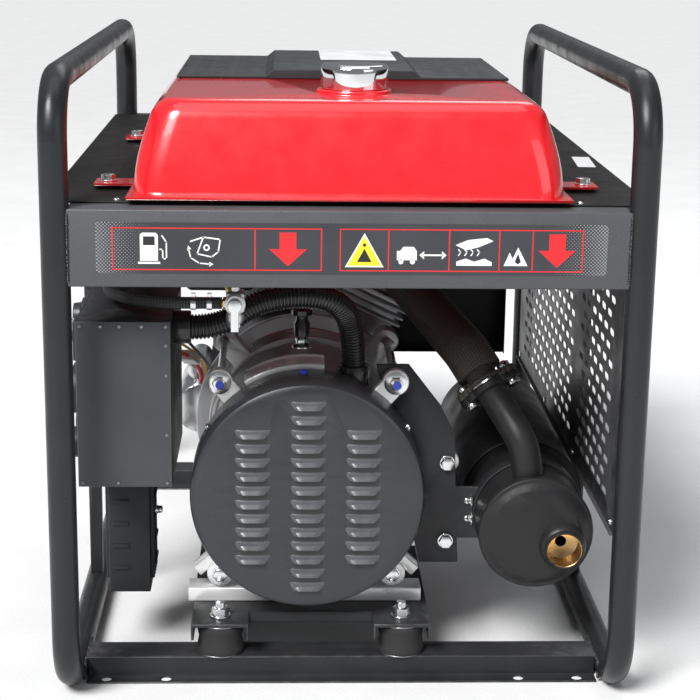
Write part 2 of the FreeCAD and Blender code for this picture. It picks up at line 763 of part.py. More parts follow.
def tank_rear_cover():
    """A moulded cover on the rear half of the tank top: slotted wings and a raised middle."""
    wing_top = "tank_top + 3"
    hump_top = "tank_top + hump_height"
    wings = block("CoverWings", "-rear_cover_half_width", "rear_cover_half_width",
                  "rear_cover_front", "rear_cover_back", "tank_top", wing_top)
    hump = wedge("CoverHump", ("88", "rear_cover_front", "rear_cover_back"),
                 ("76", "rear_cover_front", "rear_cover_back"), "tank_top", hump_top)
    hollow = wedge("CoverHollow", ("85", "rear_cover_front + 3", "rear_cover_back - 3"),
                   ("74", "rear_cover_front + 3", "rear_cover_back - 3"), "tank_top - 1",
                   f"{hump_top} - 2.5")
    slots = []
    for way in ("-", ""):
        for row in range(3):
            for number in range(8):
                x = f"{way}({112 + 22 * row})"
                y = f"rear_cover_front + (rear_cover_back - rear_cover_front) * {(number + 1) / 9}"
                slots.append(block(f"CoverSlot{way.replace('-', 'L')}{row}{number}", f"{x} - 7",
                                   f"{x} + 7", f"{y} - 3", f"{y} + 3", "tank_top - 1",
                                   f"{wing_top} + 1"))
    return cut("TankRearCover", fuse("CoverOutside", wings, hump), hollow, *slots)


node("tank_rear_cover", tank_rear_cover())
node("filler_neck", turned("FillerNeck", [
    ("neck_radius - 2", "0"), ("neck_radius", "0"), ("neck_radius", "26"),
    ("neck_radius + 4", "26"), ("neck_radius + 4", "29"), ("neck_radius - 2", "29")],
    ("filler_x", "filler_y", "tank_top - 10"), "Z"))
node("fuel_cap", turned("FuelCap", [
    ("0", "cap_height"), ("cap_radius - 3", "cap_height"), ("cap_radius", "cap_height - 3"),
    ("cap_radius", "0"), ("cap_radius - 3", "0"), ("cap_radius - 3", "cap_height - 4"),
    ("0", "cap_height - 4")],
    ("filler_x", "filler_y", "boss_top + cover_fit"), "Z"))

# ---------------------------------------------------------------- fuel tap and hose

tap_stem = rod("TapStem", "tie_bolt_radius + 1.9", ("tap_x", "tap_y", "tap_z + 20"),
               "tank_bottom + 8 - tap_z - 20")
tap_nut = hexagon("TapNut", "tap_radius + 4", ("tap_x", "tap_y", "tap_z + 14"), "12")
tap_bowl = rod("TapBowl", "tap_radius", ("tap_x", "tap_y", "tap_z - 16"), "31")
tap_barb = rod("TapBarb", "hose_radius - 2", ("tap_x", "tap_y", "tap_z"), "tap_radius + 13", "-X")
tap_face = rod("TapFace", "tap_radius - 2", ("tap_x", "tap_y", "tap_z"), "tap_radius + 1", "-Y")
node("fuel_tap_body", fuse("FuelTapBody", tap_stem, tap_nut, tap_bowl, tap_barb, tap_face))
lever_y = "tap_y - tap_radius - 1 - cover_fit"
tap_hub = rod("TapHub", "7", ("tap_x", lever_y, "tap_z"), "5", "-Y")
tap_blade = block("TapBlade", "tap_x - 4", "tap_x + 4", f"{lever_y} - 5", f"{lever_y} - 1",
                  "tap_z - 26", "tap_z")
node("fuel_tap_lever", fuse("FuelTapLever", tap_hub, tap_blade))


def bent_tube(name, points, radius, inner=0.0):
    """A round tube along straight runs joined by tangent arcs, each as large as it can be."""
    edges, radii = [], []
    here = points[0]
    for before, corner, after in zip(points, points[1:], points[2:]):
        back = (before - corner).normalize()
        ahead = (after - corner).normalize()
        half_turn = (math.pi - back.getAngle(ahead)) / 2
        shorter = min((corner - before).Length, (after - corner).Length)
        reach = 0.45 * shorter
        bend = reach / math.tan(half_turn)
        radii.append(bend)
        start, end = corner + back * reach, corner + ahead * reach
        inward = (back + ahead).normalize()
        middle = corner + inward * (bend / math.cos(half_turn) - bend)
        edges.append(Part.LineSegment(here, start).toShape())
        edges.append(Part.Arc(start, middle, end).toShape())
        here = end
    edges.append(Part.LineSegment(here, points[-1]).toShape())
    path = Part.Wire(edges)
    aim = (points[1] - points[0]).normalize()

    def solid(section_radius):
        section = Part.Wire([Part.makeCircle(section_radius, points[0], aim)])
        return path.makePipeShell([section], True, False)

    shape = solid(radius)
    wanted = math.pi * radius ** 2 * path.Length
    if abs(shape.Volume - wanted) > 0.01 * wanted:
        raise ValueError(f"{name}: volume {shape.Volume} is not {wanted}")
    print(f"{name}: length {path.Length:.0f}, least bend radius {min(radii, default=0):.0f}")
    return shape.cut(solid(inner)) if inner else shape


tap = Vector(value("tap_x"), value("tap_y"), value("tap_z"))
intake = value("intake_z")
carburettor_inlet = Vector(value("axis_x") - 12, value("head_front") + 17, intake - 22)
hose_start = tap - Vector(value("tap_radius") + 13, 0, 0)
box_corner = Vector(value("box_left") + 22, 0, value("box_top") + 16)
fuel_route = [
    hose_start,
    hose_start + Vector(-48, 0, 0),
    Vector(box_corner.x + 10, value("tap_y") + 30, box_corner.z + 1),
    Vector(box_corner.x - 2, value("tap_y") + 95, box_corner.z),
    Vector(box_corner.x - 2, value("box_back") + 12, box_corner.z - 2),
    Vector(box_corner.x + 26, value("box_back") + 80, box_corner.z - 8),
    carburettor_inlet + Vector(-104, -82, 14),
    carburettor_inlet + Vector(-38, -62, 6),
    carburettor_inlet + Vector(0, -34, 0),
    carburettor_inlet,
]
node("fuel_hose", feature("FuelHose", bent_tube("fuel hose", fuel_route, value("hose_radius"))))

# ---------------------------------------------------------------- cradle on rubber mounts

MOUNT_SPOTS = [(x, y) for x in ("mount_left", "mount_right") for y in ("-rail_y", "rail_y")]


def cradle():
    """Two inverted channels with tie plates, which carry the engine and the alternator."""
    pieces, tools = [], []
    half = "cradle_width / 2"
    for number, x in enumerate(("mount_left", "mount_right")):
        pieces.append(block(f"CradleRail{number}", f"{x} - {half}", f"{x} + {half}",
                            "-cradle_end", "cradle_end", "cradle_top - cradle_side", "cradle_top"))
        tools.append(block(f"CradleHollow{number}", f"{x} - {half} + 3", f"{x} + {half} - 3",
                           "-cradle_end - 1", "cradle_end + 1",
                           "cradle_top - cradle_side - 1", "mount_top"))
    for number, (y0, y1) in enumerate((("-rail_y + 12", "-rail_y + 12 + tie_width"),
                                       ("rail_y - 12 - tie_width", "rail_y - 12"))):
        inner = (f"mount_left + {half}", f"mount_right - {half}")
        pieces.append(block(f"CradleTie{number}", *inner, y0, y1, "mount_top", "cradle_top"))
        lip_y = (y0, f"{y0} + 3") if number == 0 else (f"{y1} - 3", y1)
        pieces.append(block(f"CradleLip{number}", *inner, *lip_y, "cradle_top - 13",
                            "cradle_top"))
    for number, (x, y) in enumerate(MOUNT_SPOTS):
        tools.append(bore(f"CradleHole{number}", "stud_radius + stud_play", (x, y, "mount_top"),
                          "cradle_thick"))
    return cut("Cradle", fuse("CradleWelded", *pieces), *tools)


node("engine_cradle", cradle())
node("rubber_mounts", group("RubberMounts", *[
    rod(f"RubberMount{number}", "mount_radius", (x, y, "rail_height"), "mount_height")
    for number, (x, y) in enumerate(MOUNT_SPOTS)]))


def mount_stud(name, spot, length, plate, aim):
    """A stud out of a rubber mount, with a washer and a nut on the plate that it goes through."""
    seat = shifted(spot, aim, plate)
    return fuse(name, rod(name + "Stud", "stud_radius", spot, length, aim),
                rod(name + "Washer", "stud_radius * 2.2", seat, "2", aim),
                hexagon(name + "Nut", "stud_radius * 1.85", shifted(seat, aim, "2"), "8", aim))


studs = []
for number, (x, y) in enumerate(MOUNT_SPOTS):
    studs.append(mount_stud(f"TopStud{number}", (x, y, "mount_top"), "cradle_thick + 16",
                            "cradle_thick", "Z"))
    studs.append(mount_stud(f"LowStud{number}", (x, y, "rail_height"), "rail_wall + 14",
                            "rail_wall", "-Z"))
node("mount_studs", group("MountStuds", *studs))

# ---------------------------------------------------------------- alternator

AXIS = ("axis_x", "0", "axis_z")


def on_axis(y):
    """A spot on the engine axis."""
    return ("axis_x", y, "axis_z")


def ear_spots(y):
    """The four tie bolt spots around the alternator."""
    return [(f"axis_x {side} ear_dx", y, f"axis_z {way} ear_dz") for side in "+-" for way in "+-"]


EAR_ANGLES = ["ear_angle", "180 - ear_angle", "180 + ear_angle", "-ear_angle"]


def louvre_slots():
    """Cutters for three columns of louvre openings in the end cover."""
    tools = []
    for column, count in ((-1, 10), (0, 14), (1, 10)):
        for number in range(count):
            rise = (number - (count - 1) / 2)
            x = f"axis_x + {column} * louvre_column"
            z = f"axis_z + {rise} * louvre_pitch"
            tools.append(block(f"Louvre{column + 1}{number}", f"{x} - louvre_width / 2",
                               f"{x} + louvre_width / 2", "cover_front - 1",
                               "cover_front + cover_wall + 1", z, f"{z} + louvre_opening"))
    return tools


cover_cup = turned("CoverCup", [
    ("0", "0"), ("cover_radius - 8", "0"), ("cover_radius - 2.4", "2.4"), ("cover_radius", "8"),
    ("cover_radius", "cover_depth"), ("cover_radius - cover_wall", "cover_depth"),
    ("cover_radius - cover_wall", "8"), ("cover_radius - 8", "cover_wall"), ("0", "cover_wall")],
    on_axis("cover_front"))
node("alternator_end_cover", cut("AlternatorEndCover", cover_cup, *louvre_slots()))


def rear_bell():
    """The cast end bracket: ring, spider, bearing hub, ears, bracket lugs and feet."""
    ring_inner = "bell_radius - bell_wall"
    spigot = "cover_radius - cover_wall - cover_fit"
    pieces = [
        tube("BellRing", "bell_radius", ring_inner, on_axis("bell_front"), "bell_depth", "Y"),
        tube("BellSpigot", spigot, ring_inner, on_axis("web_front"), "cover_lap + 4", "Y"),
        rod("BellHub", "bearing_radius + 8", on_axis("web_front"), "bearing_width + 10", "Y"),
    ]
    for number in range(6):
        pieces.append(spoke(f"BellSpoke{number}", "bearing_radius + 2", f"{ring_inner} + 4", "18",
                            "web_front", "web_front + 8", f"{60 * number + 30}"))
    for number, angle in enumerate(EAR_ANGLES):
        pieces.append(spoke(f"BellArm{number}", "bell_radius - 5", "ear_radius", "24",
                            "bell_front", "bell_front + 12", angle))
    for number, spot in enumerate(ear_spots("bell_front")):
        pieces.append(rod(f"BellEar{number}", "ear_boss", spot, "12", "Y"))
    for number, (x, z) in enumerate(LUG_SPOTS):
        pieces.append(rod(f"BellLug{number}", "13", (x, LUG_FRONT, z), "16", "Y"))
        pieces.append(block(f"BellLugArm{number}", "axis_x + bell_radius * 0.75", x,
                            LUG_FRONT, f"{LUG_FRONT} + 12", f"{z} - 8", f"{z} + 8"))
    foot_end = "foot_front + foot_depth"
    foot_top = "cradle_top + foot_thick"
    left, right = "mount_left - cradle_width / 2 - 6", "mount_right + cradle_width / 2 - 6"
    pieces.append(block("BellFoot", left, right, "foot_front", foot_end, "cradle_top", foot_top))
    pieces.append(block("BellPedestal", "axis_x - 62", "axis_x + 62", "foot_front", foot_end,
                        "cradle_top", "axis_z - bell_radius * 0.85"))
    for number, angle in enumerate(("180 + 42", "-42")):
        pieces.append(spoke(f"BellGusset{number}", "bell_radius - 5", "bell_radius + 46", "12",
                            "foot_front + 4", f"{foot_end} - 4", angle))
    tools = [rod("BellInside", ring_inner, on_axis("web_front + 8"), "bell_depth + 20", "Y")]
    hub_again = tube("BellHubRing", "bearing_radius + 8", "bearing_radius",
                     on_axis("web_front"), "bearing_width + 10", "Y")
    tools.append(block("BellBelow", "axis_x - 300", "axis_x + 300", "foot_front - 20",
                       f"{foot_end} + 20", "cradle_top - 200", "cradle_top"))
    tools.append(bore("BellBore", "bearing_radius", on_axis("web_front"), "bearing_width + 10",
                      "Y"))
    for number, spot in enumerate(ear_spots("bell_front")):
        tools.append(bore(f"BellEarBore{number}", "tie_bolt_radius + stud_play", spot, "12", "Y"))
    for number, (x, z) in enumerate(LUG_SPOTS):
        tools.append(bore(f"BellLugBore{number}", "tie_bolt_radius", (x, LUG_FRONT, z), "16", "Y"))
    return fuse("RearBell", cut("BellCast", fuse("BellBlank", *pieces), *tools), hub_again)


BRACKET_BACK = "bell_front + 12 + plate_thick"
LUG_FRONT = BRACKET_BACK
LUG_SPOTS = [("axis_x + 150", "axis_z + 15"), ("axis_x + 150", "axis_z - 73")]
node("rear_bell", rear_bell())
node("stator_core", tube("StatorCore", "stator_radius", "stator_bore", on_axis("bell_back"),
                         "stator_length", "Y"))
node("stator_windings", group(
    "StatorWindings",
    tube("WindingFront", "stator_radius - 9", "stator_bore + 3", on_axis("bell_back - 13"), "13",
         "Y"),
    tube("WindingBack", "stator_radius - 9", "stator_bore + 3", on_axis("stator_back"), "13",
         "Y")))


def front_bracket():
    """The cast adaptor between the stator and the crankcase, with windows for the fan."""
    end = "crankcase_front"
    length = f"{end} - stator_back"
    shell = tube("BracketShell", "bell_radius", "bell_radius - 8", on_axis("stator_back"), length,
                 "Y")
    flange = tube("BracketFlange", "bracket_flange_radius", "bell_radius - 10",
                  on_axis(f"{end} - 10"), "10", "Y")
    pieces = [shell, flange]
    tools = [rod("BracketInside", "bell_radius - 8", on_axis("stator_back - 1"), f"{length} - 9",
                 "Y")]
    for number, (spot, angle) in enumerate(zip(ear_spots("stator_back"), EAR_ANGLES_BY_SPOT)):
        pieces.append(rod(f"BracketEar{number}", "ear_boss", spot, "24", "Y"))
        pieces.append(spoke(f"BracketArm{number}", "bell_radius - 5", "ear_radius", "24",
                            "stator_back", "stator_back + 24", angle))
        tools.append(bore(f"BracketBore{number}", "tie_bolt_radius", spot, "24", "Y"))
    for number in range(8):
        tools.append(spoke(f"BracketWindow{number}", "bell_radius - 20", "bell_radius + 4", "44",
                           "stator_back + 26", f"{end} - 14", f"{45 * number}"))
    return cut("FrontBracket", fuse("BracketBlank", *pieces), *tools)


EAR_ANGLES_BY_SPOT = ["ear_angle", "-ear_angle", "180 - ear_angle", "180 + ear_angle"]
node("front_bracket", front_bracket())
node("tie_bolts", group("TieBolts", *[
    bolt(f"TieBolt{number}", "tie_bolt_radius", spot, "stator_back + 22 - bell_front", "Y")
    for number, spot in enumerate(ear_spots("bell_front"))]))

shaft_radius = "bearing_bore - running_gap"
rotor_shaft = turned("RotorShaft", [
    ("0", "cover_front + 14"), (shaft_radius, "cover_front + 14"),
    (shaft_radius, "bell_back - 4"), ("18", "bell_back - 4"), ("18", "crankcase_front - 4"),
    ("13", "crankcase_front - 4"), ("13", "crankcase_front - 20"), ("0", "crankcase_front - 20")],
    AXIS)
slip_rings = [tube(f"SlipRing{number}", "21", shaft_radius,
                   on_axis(f"cover_front + {18 + 13 * number}"), "9", "Y") for number in range(2)]
poles = tube("RotorPoles", "rotor_radius", "18", on_axis("bell_back + 2"), "stator_length - 4", "Y")
pole_flats = [block(f"PoleFlat{number}", f"axis_x + {low}", f"axis_x + {high}", "bell_back",
                    "stator_back", "axis_z - 30", "axis_z + 30")
              for number, (low, high) in enumerate((("40", "80"), ("-80", "-40")))]
node("rotor", group("Rotor", rotor_shaft, *slip_rings, cut("RotorCore", poles, *pole_flats)))


def cooling_fan():
    """A disc with radial blades on the rotor shaft, inside the front bracket."""
    front = "stator_back + 20"
    pieces = [rod("FanDisc", "fan_radius", on_axis(front), "3", "Y"),
              rod("FanHub", "28", on_axis(front), "22", "Y")]
    for number in range(12):
        pieces.append(spoke(f"FanBlade{number}", "36", "fan_radius", "3", front, f"{front} + 20",
                            f"{30 * number}"))
    return cut("CoolingFan", fuse("FanBlank", *pieces), bore("FanBore", "18", on_axis(front), "22",
                                                             "Y"))


node("cooling_fan", cooling_fan())
node("bearings", group(
    "Bearings",
    tube("AlternatorBearing", "bearing_radius", "bearing_bore", on_axis("web_front + 6"),
         "bearing_width", "Y"),
    tube("CrankBearingFront", "crank_bearing_radius", "crank_journal_radius",
         on_axis("crankcase_front + 2"), "17", "Y"),
    tube("CrankBearingBack", "crank_bearing_radius", "crank_journal_radius",
         on_axis("crankcase_back - 19"), "17", "Y")))

# ---------------------------------------------------------------- engine


def crankcase():
    """The cast crankcase with its barrel, fins, sump and feet."""
    left, right = "axis_x - crankcase_half_width", "axis_x + crankcase_half_width"
    pieces = [block("CaseBlock", left, right, "crankcase_front", "crankcase_back",
                    "cradle_top + 6", "cradle_top + crankcase_height"),
              leaning("CaseBarrel", "barrel_width", "head_front + 4",
                      "head_front + head_length - 4", "60", "barrel_top")]
    for number, x in enumerate(("mount_left", "mount_right")):
        pieces.append(block(f"CaseFoot{number}", f"{x} - 26", f"{x} + 26", "crankcase_front + 45",
                            "crankcase_back - 35", "cradle_top", "cradle_top + 14"))
    for number in range(4):
        low = f"barrel_top - {10 + 9 * number}"
        pieces.append(leaning(f"CaseFin{number}", "fin_width", "head_front - 8",
                              "head_front + head_length + 8", low, f"{low} + 3"))
    tools = [rod("CaseCavity", "cavity_radius", on_axis("crankcase_front + 20"),
                 "crankcase_length - 40", "Y"),
             bore("CaseBore", "crank_bearing_radius", on_axis("crankcase_front"),
                  "crankcase_length", "Y"),
             block("CaseSump", f"{left} + 12", f"{right} - 12", "crankcase_front + 20",
                   "crankcase_back - 20", "cradle_top + 16", "axis_z - 60")]
    barrel_bore = doc.addObject("Part::Cylinder", "BarrelBore")
    bind(barrel_bore, Radius="cylinder_bore", Height="barrel_top - 20")
    put(barrel_bore, ("axis_x + 30 * tilt_x", "head_middle", "axis_z + 30 * tilt_z"),
        FreeCAD.Rotation(Vector(0, 1, 0), value("cylinder_tilt")))
    tools.append(barrel_bore)
    tools.append(bore("DipstickBore", "9", (left, "head_front + 25", "axis_z - 78"), "14", "X"))
    return cut("Crankcase", fuse("CaseBlank", *pieces), *tools)


node("crankcase", crankcase())


def crankshaft():
    """Main journals, two webs with counterweights and the crank pin."""
    journal = "crank_journal_radius - running_gap"
    web_front, web_back = "head_middle - 27", "head_middle + 11"
    pieces = [rod("JournalFront", journal, on_axis("crankcase_front - 4"),
                  f"{web_front} - crankcase_front + 4", "Y"),
              rod("CrankNose", "13", on_axis("crankcase_front - 20"), "18", "Y"),
              rod("JournalBack", journal, on_axis(web_back), f"crankcase_back - ({web_back}) + 2",
                  "Y"),
              rod("FlywheelSeat", "14", on_axis("crankcase_back"),
                  "flywheel_back + 12 - crankcase_back", "Y"),
              hexagon("FlywheelNut", "17", on_axis("flywheel_back"), "10", "Y"),
              rod("CrankPin", "16", ("axis_x", web_front, "axis_z + crank_throw"), "54", "Y")]
    for number, y in enumerate((web_front, web_back)):
        disc = rod(f"WebDisc{number}", "cavity_radius - 6", on_axis(y), "16", "Y")
        flats = [block(f"WebFlat{number}{way}", *span, f"{y} - 1", f"{y} + 17", "axis_z - 12",
                       "axis_z + 80")
                 for way, span in enumerate((("axis_x - 80", "axis_x - 24"),
                                             ("axis_x + 24", "axis_x + 80")))]
        pieces.append(cut(f"Web{number}", disc, *flats))
    return fuse("Crankshaft", *pieces)


node("crankshaft", crankshaft())
head_low = [leaning("HeadBlock", "barrel_width", "head_front", "head_front + head_length",
                    "barrel_top", "head_top")]
for number in range(4):
    low = f"barrel_top + {6 + 9 * number}"
    head_low.append(leaning(f"HeadFin{number}", "fin_width", "head_front - 8",
                            "head_front + head_length + 8", low, f"{low} + 3"))
node("rocker_cover", fuse(
    "RockerCover",
    leaning("RockerFlange", "barrel_width - 8", "head_front + 4", "head_front + head_length - 4",
            "head_top", "head_top + 4"),
    leaning("RockerBox", "barrel_width - 24", "head_front + 12", "head_front + head_length - 12",
            "head_top", "rocker_top")))


def square_to_cylinder(name, radius, height, y, start, length):
    """A round piece that stands out of the right side of the head, square to the cylinder."""
    piece = doc.addObject("Part::Cylinder", name)
    bind(piece, Radius=radius, Height=length)
    return put(piece, (f"axis_x + ({height}) * tilt_x + ({start}) * tilt_z", y,
                       f"axis_z + ({height}) * tilt_z - ({start}) * tilt_x"),
               FreeCAD.Rotation(Vector(0, 1, 0), 90 + value("cylinder_tilt")))


plug_seat = square_to_cylinder("PlugSeat", "11", "head_top - 8", "head_middle + 18",
                               "barrel_width / 2", "20")
node("cylinder_head", cut("CylinderHead", fuse("HeadBlank", *head_low), plug_seat))
node("spark_plug", fuse("SparkPlug", *[
    square_to_cylinder(f"Plug{number}", radius, "head_top - 8", "head_middle + 18",
                       f"barrel_width / 2 + {start}", length)
    for number, (radius, start, length) in enumerate((("10.5", 0, "10"), ("6", 9, "16"),
                                                      ("9", 24, "30")))]))


def starter_motor():
    """The electric starter with its solenoid, on the left of the crankcase."""
    y = "head_front - 5"
    spot = ("starter_x", y, "axis_z - 1")
    solenoid = (f"starter_x - 3", f"{y} + 24", "axis_z + starter_radius + 12")
    return fuse("StarterMotor", rod("StarterBody", "starter_radius", spot, "starter_length", "Y"),
                rod("StarterNose", "16", spot, "starter_length + 14", "Y"),
                rod("Solenoid", "14", solenoid, "74", "Y"),
                block("StarterLug", "starter_x", "axis_x - crankcase_half_width",
                      f"{y} + starter_length - 24", f"{y} + starter_length", "axis_z - 20",
                      "axis_z + 18"))


node("starter_motor", starter_motor())


def flywheel():
    """The flywheel with its ring gear, cooling blades and starter cup."""
    front, back = "flywheel_front", "flywheel_back"
    pieces = [rod("FlywheelDisc", "flywheel_radius", on_axis(front), "22", "Y"),
              rod("RingGear", "flywheel_radius + 11", on_axis(front), "9", "Y"),
              tube("StarterCup", "36", "33", on_axis(f"{back} - 26"), "26", "Y")]
    for number in range(16):
        pieces.append(spoke(f"FlywheelBlade{number}", "58", "flywheel_radius - 2", "4",
                            f"{front} + 20", back, f"{22.5 * number}"))
    return cut("Flywheel", fuse("FlywheelBlank", *pieces),
               bore("FlywheelBore", "14", on_axis(front), "flywheel_width", "Y"))


node("flywheel", flywheel())


def fan_shroud():
    """A round shell round the flywheel and a duct that leads its air to the cylinder."""
    wall = "shroud_wall"
    drum = rod("ShroudDrum", "shroud_radius", on_axis("shroud_front"), "shroud_length", "Y")
    duct = leaning("ShroudDuct", "fin_width + 8", "shroud_front", "shroud_front + 50", "80",
                   "head_top")
    stand = [rod(f"ShroudStand{number}", "8", (f"axis_x {side} 78", "crankcase_back",
                                               f"axis_z {way} 60"), "10", "Y")
             for number, (side, way) in enumerate((("+", "+"), ("-", "+"), ("+", "-"), ("-", "-")))]
    tools = [rod("ShroudInside", f"shroud_radius - {wall}", on_axis(f"shroud_front + {wall}"),
                 "shroud_length", "Y"),
             bore("ShroudHole", "40", on_axis("shroud_front"), wall, "Y"),
             leaning("DuctInside", f"fin_width + 8 - 2 * {wall}", "shroud_front - 1",
                     f"shroud_front + 50 - {wall}", "126", f"head_top - {wall}"),
             leaning("DuctMouth", f"fin_width + 8 - 2 * {wall}", f"shroud_front + {wall}",
                     f"shroud_front + 50 - {wall}", "70", "128")]
    return cut("FanShroud", fuse("ShroudBlank", drum, duct, *stand), *tools)


node("fan_shroud", fan_shroud())
GRIP = ("axis_x + 51", "axis_z + 61")


def recoil_cover():
    """The starter cover: a dome with an air grille, a rope guide and the pulley's pin."""
    dome = turned("RecoilDome", [
        ("0", "0"), ("60", "0"), ("95", "-14"), ("shroud_radius", "-recoil_depth + 8"),
        ("shroud_radius", "-recoil_depth"), ("shroud_radius - 3", "-recoil_depth"),
        ("shroud_radius - 3", "-recoil_depth + 7"), ("93", "-16.5"), ("59", "-2.5"),
        ("0", "-2.5")], on_axis("recoil_back"))
    pin = rod("RecoilPin", "6", on_axis("recoil_back - 2"), "recoil_depth - 10", "-Y")
    guide = rod("RopeGuide", "13", (GRIP[0], "recoil_back - 14", GRIP[1]), "16", "Y")
    tools = [bore("RopeHole", "5", (GRIP[0], "recoil_back - 20", GRIP[1]), "24", "Y")]
    for number in range(20):
        if number in (2, 3):
            continue
        tools.append(spoke(f"AirSlot{number}", "68", "88", "7", "recoil_back - 30",
                           "recoil_back + 5", f"{18 * number}"))
    return cut("RecoilCover", fuse("RecoilBlank", dome, pin, guide), *tools)


node("recoil_cover", recoil_cover())
node("recoil_pulley", turned("RecoilPulley", [
    ("6.1", "0"), ("pulley_radius", "0"), ("pulley_radius", "3"), ("pulley_radius - 8", "6"),
    ("pulley_radius", "9"), ("pulley_radius", "12"), ("6.1", "12")],
    on_axis("recoil_back - recoil_depth + 16")))
grip_bar = rounded("GripBar", block("GripBlock", f"{GRIP[0]} - 45", f"{GRIP[0]} + 45",
                                    "recoil_back + 2.3", "recoil_back + 20",
                                    f"{GRIP[1]} - 11", f"{GRIP[1]} + 11"), 6.0, lambda edge: True)
node("recoil_handle", fuse("RecoilHandle", grip_bar,
                           rod("GripStem", "4", (GRIP[0], "recoil_back - 6", GRIP[1]), "10", "Y")))


def carburettor():
    """The carburettor: throat, float bowl, fuel inlet and shaft boss."""
    y = "head_middle"
    throat = ("axis_x - 60", y, "intake_z")
    body = fuse("CarbBlank", rod("CarbThroat", "19", throat, "axis_x - (axis_x - 60) + 32", "X"),
                block("CarbBlock", "axis_x - 40", "axis_x + 10", f"{y} - 24", f"{y} + 24",
                      "intake_z - 24", "intake_z + 22"),
                rod("FloatBowl", "19", ("axis_x - 15", y, "intake_z - 52"), "30"),
                rod("FuelInlet", "4", ("axis_x - 12", f"{y} - 33", "intake_z - 22"), "20", "Y"),
                block("InletNeck", "axis_x - 18", "axis_x - 6", f"{y} - 26", f"{y} - 10",
                      "intake_z - 28", "intake_z - 14"))
    head = leaning("CarbHeadCutter", "barrel_width", "head_front", "head_front + head_length",
                   "barrel_top - 60", "head_top + 10")
    fins = leaning("CarbFinCutter", "fin_width + 0.6", "head_front - 8",
                   "head_front + head_length + 8", "barrel_top - 60", "head_top + 10")
    return cut("Carburettor", body, fuse("CarbCutters", head, fins),
               bore("CarbBore", "13", throat, "110", "X"))


node("carburettor", carburettor())
choke_y = "head_middle - 24 - cover_fit"
node("choke_lever", fuse(
    "ChokeLever", rod("ChokeHub", "6", ("axis_x - 32", choke_y, "intake_z + 12"), "4", "-Y"),
    block("ChokeArm", "axis_x - 35", "axis_x - 29", f"{choke_y} - 4", f"{choke_y} - 1",
          "intake_z + 12", "intake_z + 44")))


def air_cleaner():
    """The air cleaner: a shallow back, a lid and the duct to the carburettor."""
    left, right = "axis_x - 142", "axis_x - 60"
    shell = block("CleanerShell", left, right, "head_middle - 60", "head_middle + 60",
                  "intake_z - 44", "intake_z + 44")
    soft = rounded("CleanerRound", shell, 8.0, lambda edge: edge.BoundBox.YLength > 100)
    return cut("AirCleaner", soft, block("CleanerHollow", f"{left} + 3", f"{right} - 3",
                                         "head_middle - 57", "head_middle + 57",
                                         "intake_z - 41", "intake_z + 41"),
               bore("CleanerDuct", "13", (f"{right} - 4", "head_middle", "intake_z"), "5", "X"))


node("air_cleaner", air_cleaner())
stick = ("axis_x - crankcase_half_width", "head_front + 25", "axis_z - 78")
node("oil_dipstick", fuse("OilDipstick", rod("StickCap", "15", stick, "16", "-X"),
                          rod("StickThread", "8.9", stick, "12", "X"),
                          rod("StickBlade", "3", stick, "70", "X")))

# ---------------------------------------------------------------- exhaust

FLANGE = Vector(value("axis_x") + 191, value("bell_front") + 12, value("axis_z") + 100)
PIPE_KNEE = Vector(value("muffler_x") - 12, value("muffler_front") + 35,
                   value("muffler_z") + value("muffler_radius") + 30)
PIPE_FOOT = Vector(value("muffler_x") - 6, value("muffler_front") + 30,
                   value("muffler_z") + value("muffler_radius") - 10)
FLANGE_AIM = (FLANGE - PIPE_KNEE).normalize()
FLANGE_SIDE = (Vector(0.853, 0, 0.523) - FLANGE_AIM * Vector(0.853, 0, 0.523).dot(FLANGE_AIM))
FLANGE_SIDE.normalize()
FLANGE_THICK = 7.0
BOLT_REACH = 25.0


def oval_flange(base, direction):
    """An oval two bolt flange with its bolt holes."""
    plate = Part.makeCylinder(22, FLANGE_THICK, base, direction)
    for sign in (-1, 1):
        centre = base + FLANGE_SIDE * (sign * BOLT_REACH)
        plate = plate.fuse(Part.makeCylinder(10, FLANGE_THICK, centre, direction))
        near = base + FLANGE_SIDE * (sign * BOLT_REACH * 0.62)
        plate = plate.fuse(Part.makeCylinder(14.5, FLANGE_THICK, near, direction))
    for sign in (-1, 1):
        centre = base + FLANGE_SIDE * (sign * BOLT_REACH) - direction
        plate = plate.cut(Part.makeCylinder(4.2, FLANGE_THICK + 2, centre, direction))
    return plate


def exhaust_pipes():
    """The lower pipe out of the muffler and the wrapped pipe up to the head, flange to flange."""
    radius, inner = value("pipe_radius"), value("pipe_radius") - value("pipe_wall")
    lower_route = [PIPE_FOOT, PIPE_KNEE, FLANGE]
    lower = bent_tube("lower exhaust pipe", lower_route, radius)
    lower = lower.fuse(oval_flange(FLANGE - FLANGE_AIM * FLANGE_THICK, FLANGE_AIM))
    lower = lower.cut(bent_tube("lower exhaust bore", lower_route, inner))
    head_face = value("head_front") - 8
    port = Vector(value("axis_x") + value("tilt_x") * 195 + 34, head_face + 10,
                  value("axis_z") + value("tilt_z") * 195 - 16)
    knee = FLANGE + FLANGE_AIM * 44
    upper_route = [FLANGE, knee, port]
    upper = bent_tube("upper exhaust pipe", upper_route, radius)
    upper = upper.fuse(oval_flange(FLANGE, FLANGE_AIM))
    run = (port - knee).normalize()
    wrap_start = FLANGE + FLANGE_AIM * (FLANGE_THICK + 11)
    wrap = bent_tube("pipe wrap", [wrap_start, knee, port], value("wrap_radius"))
    upper = upper.fuse(wrap).cut(bent_tube("upper exhaust bore", upper_route, inner))
    head_space = Part.makeBox(300, 200, 500, Vector(-50, head_face, 100))
    return feature("LowerExhaust", lower), feature("UpperExhaust", upper.cut(head_space))


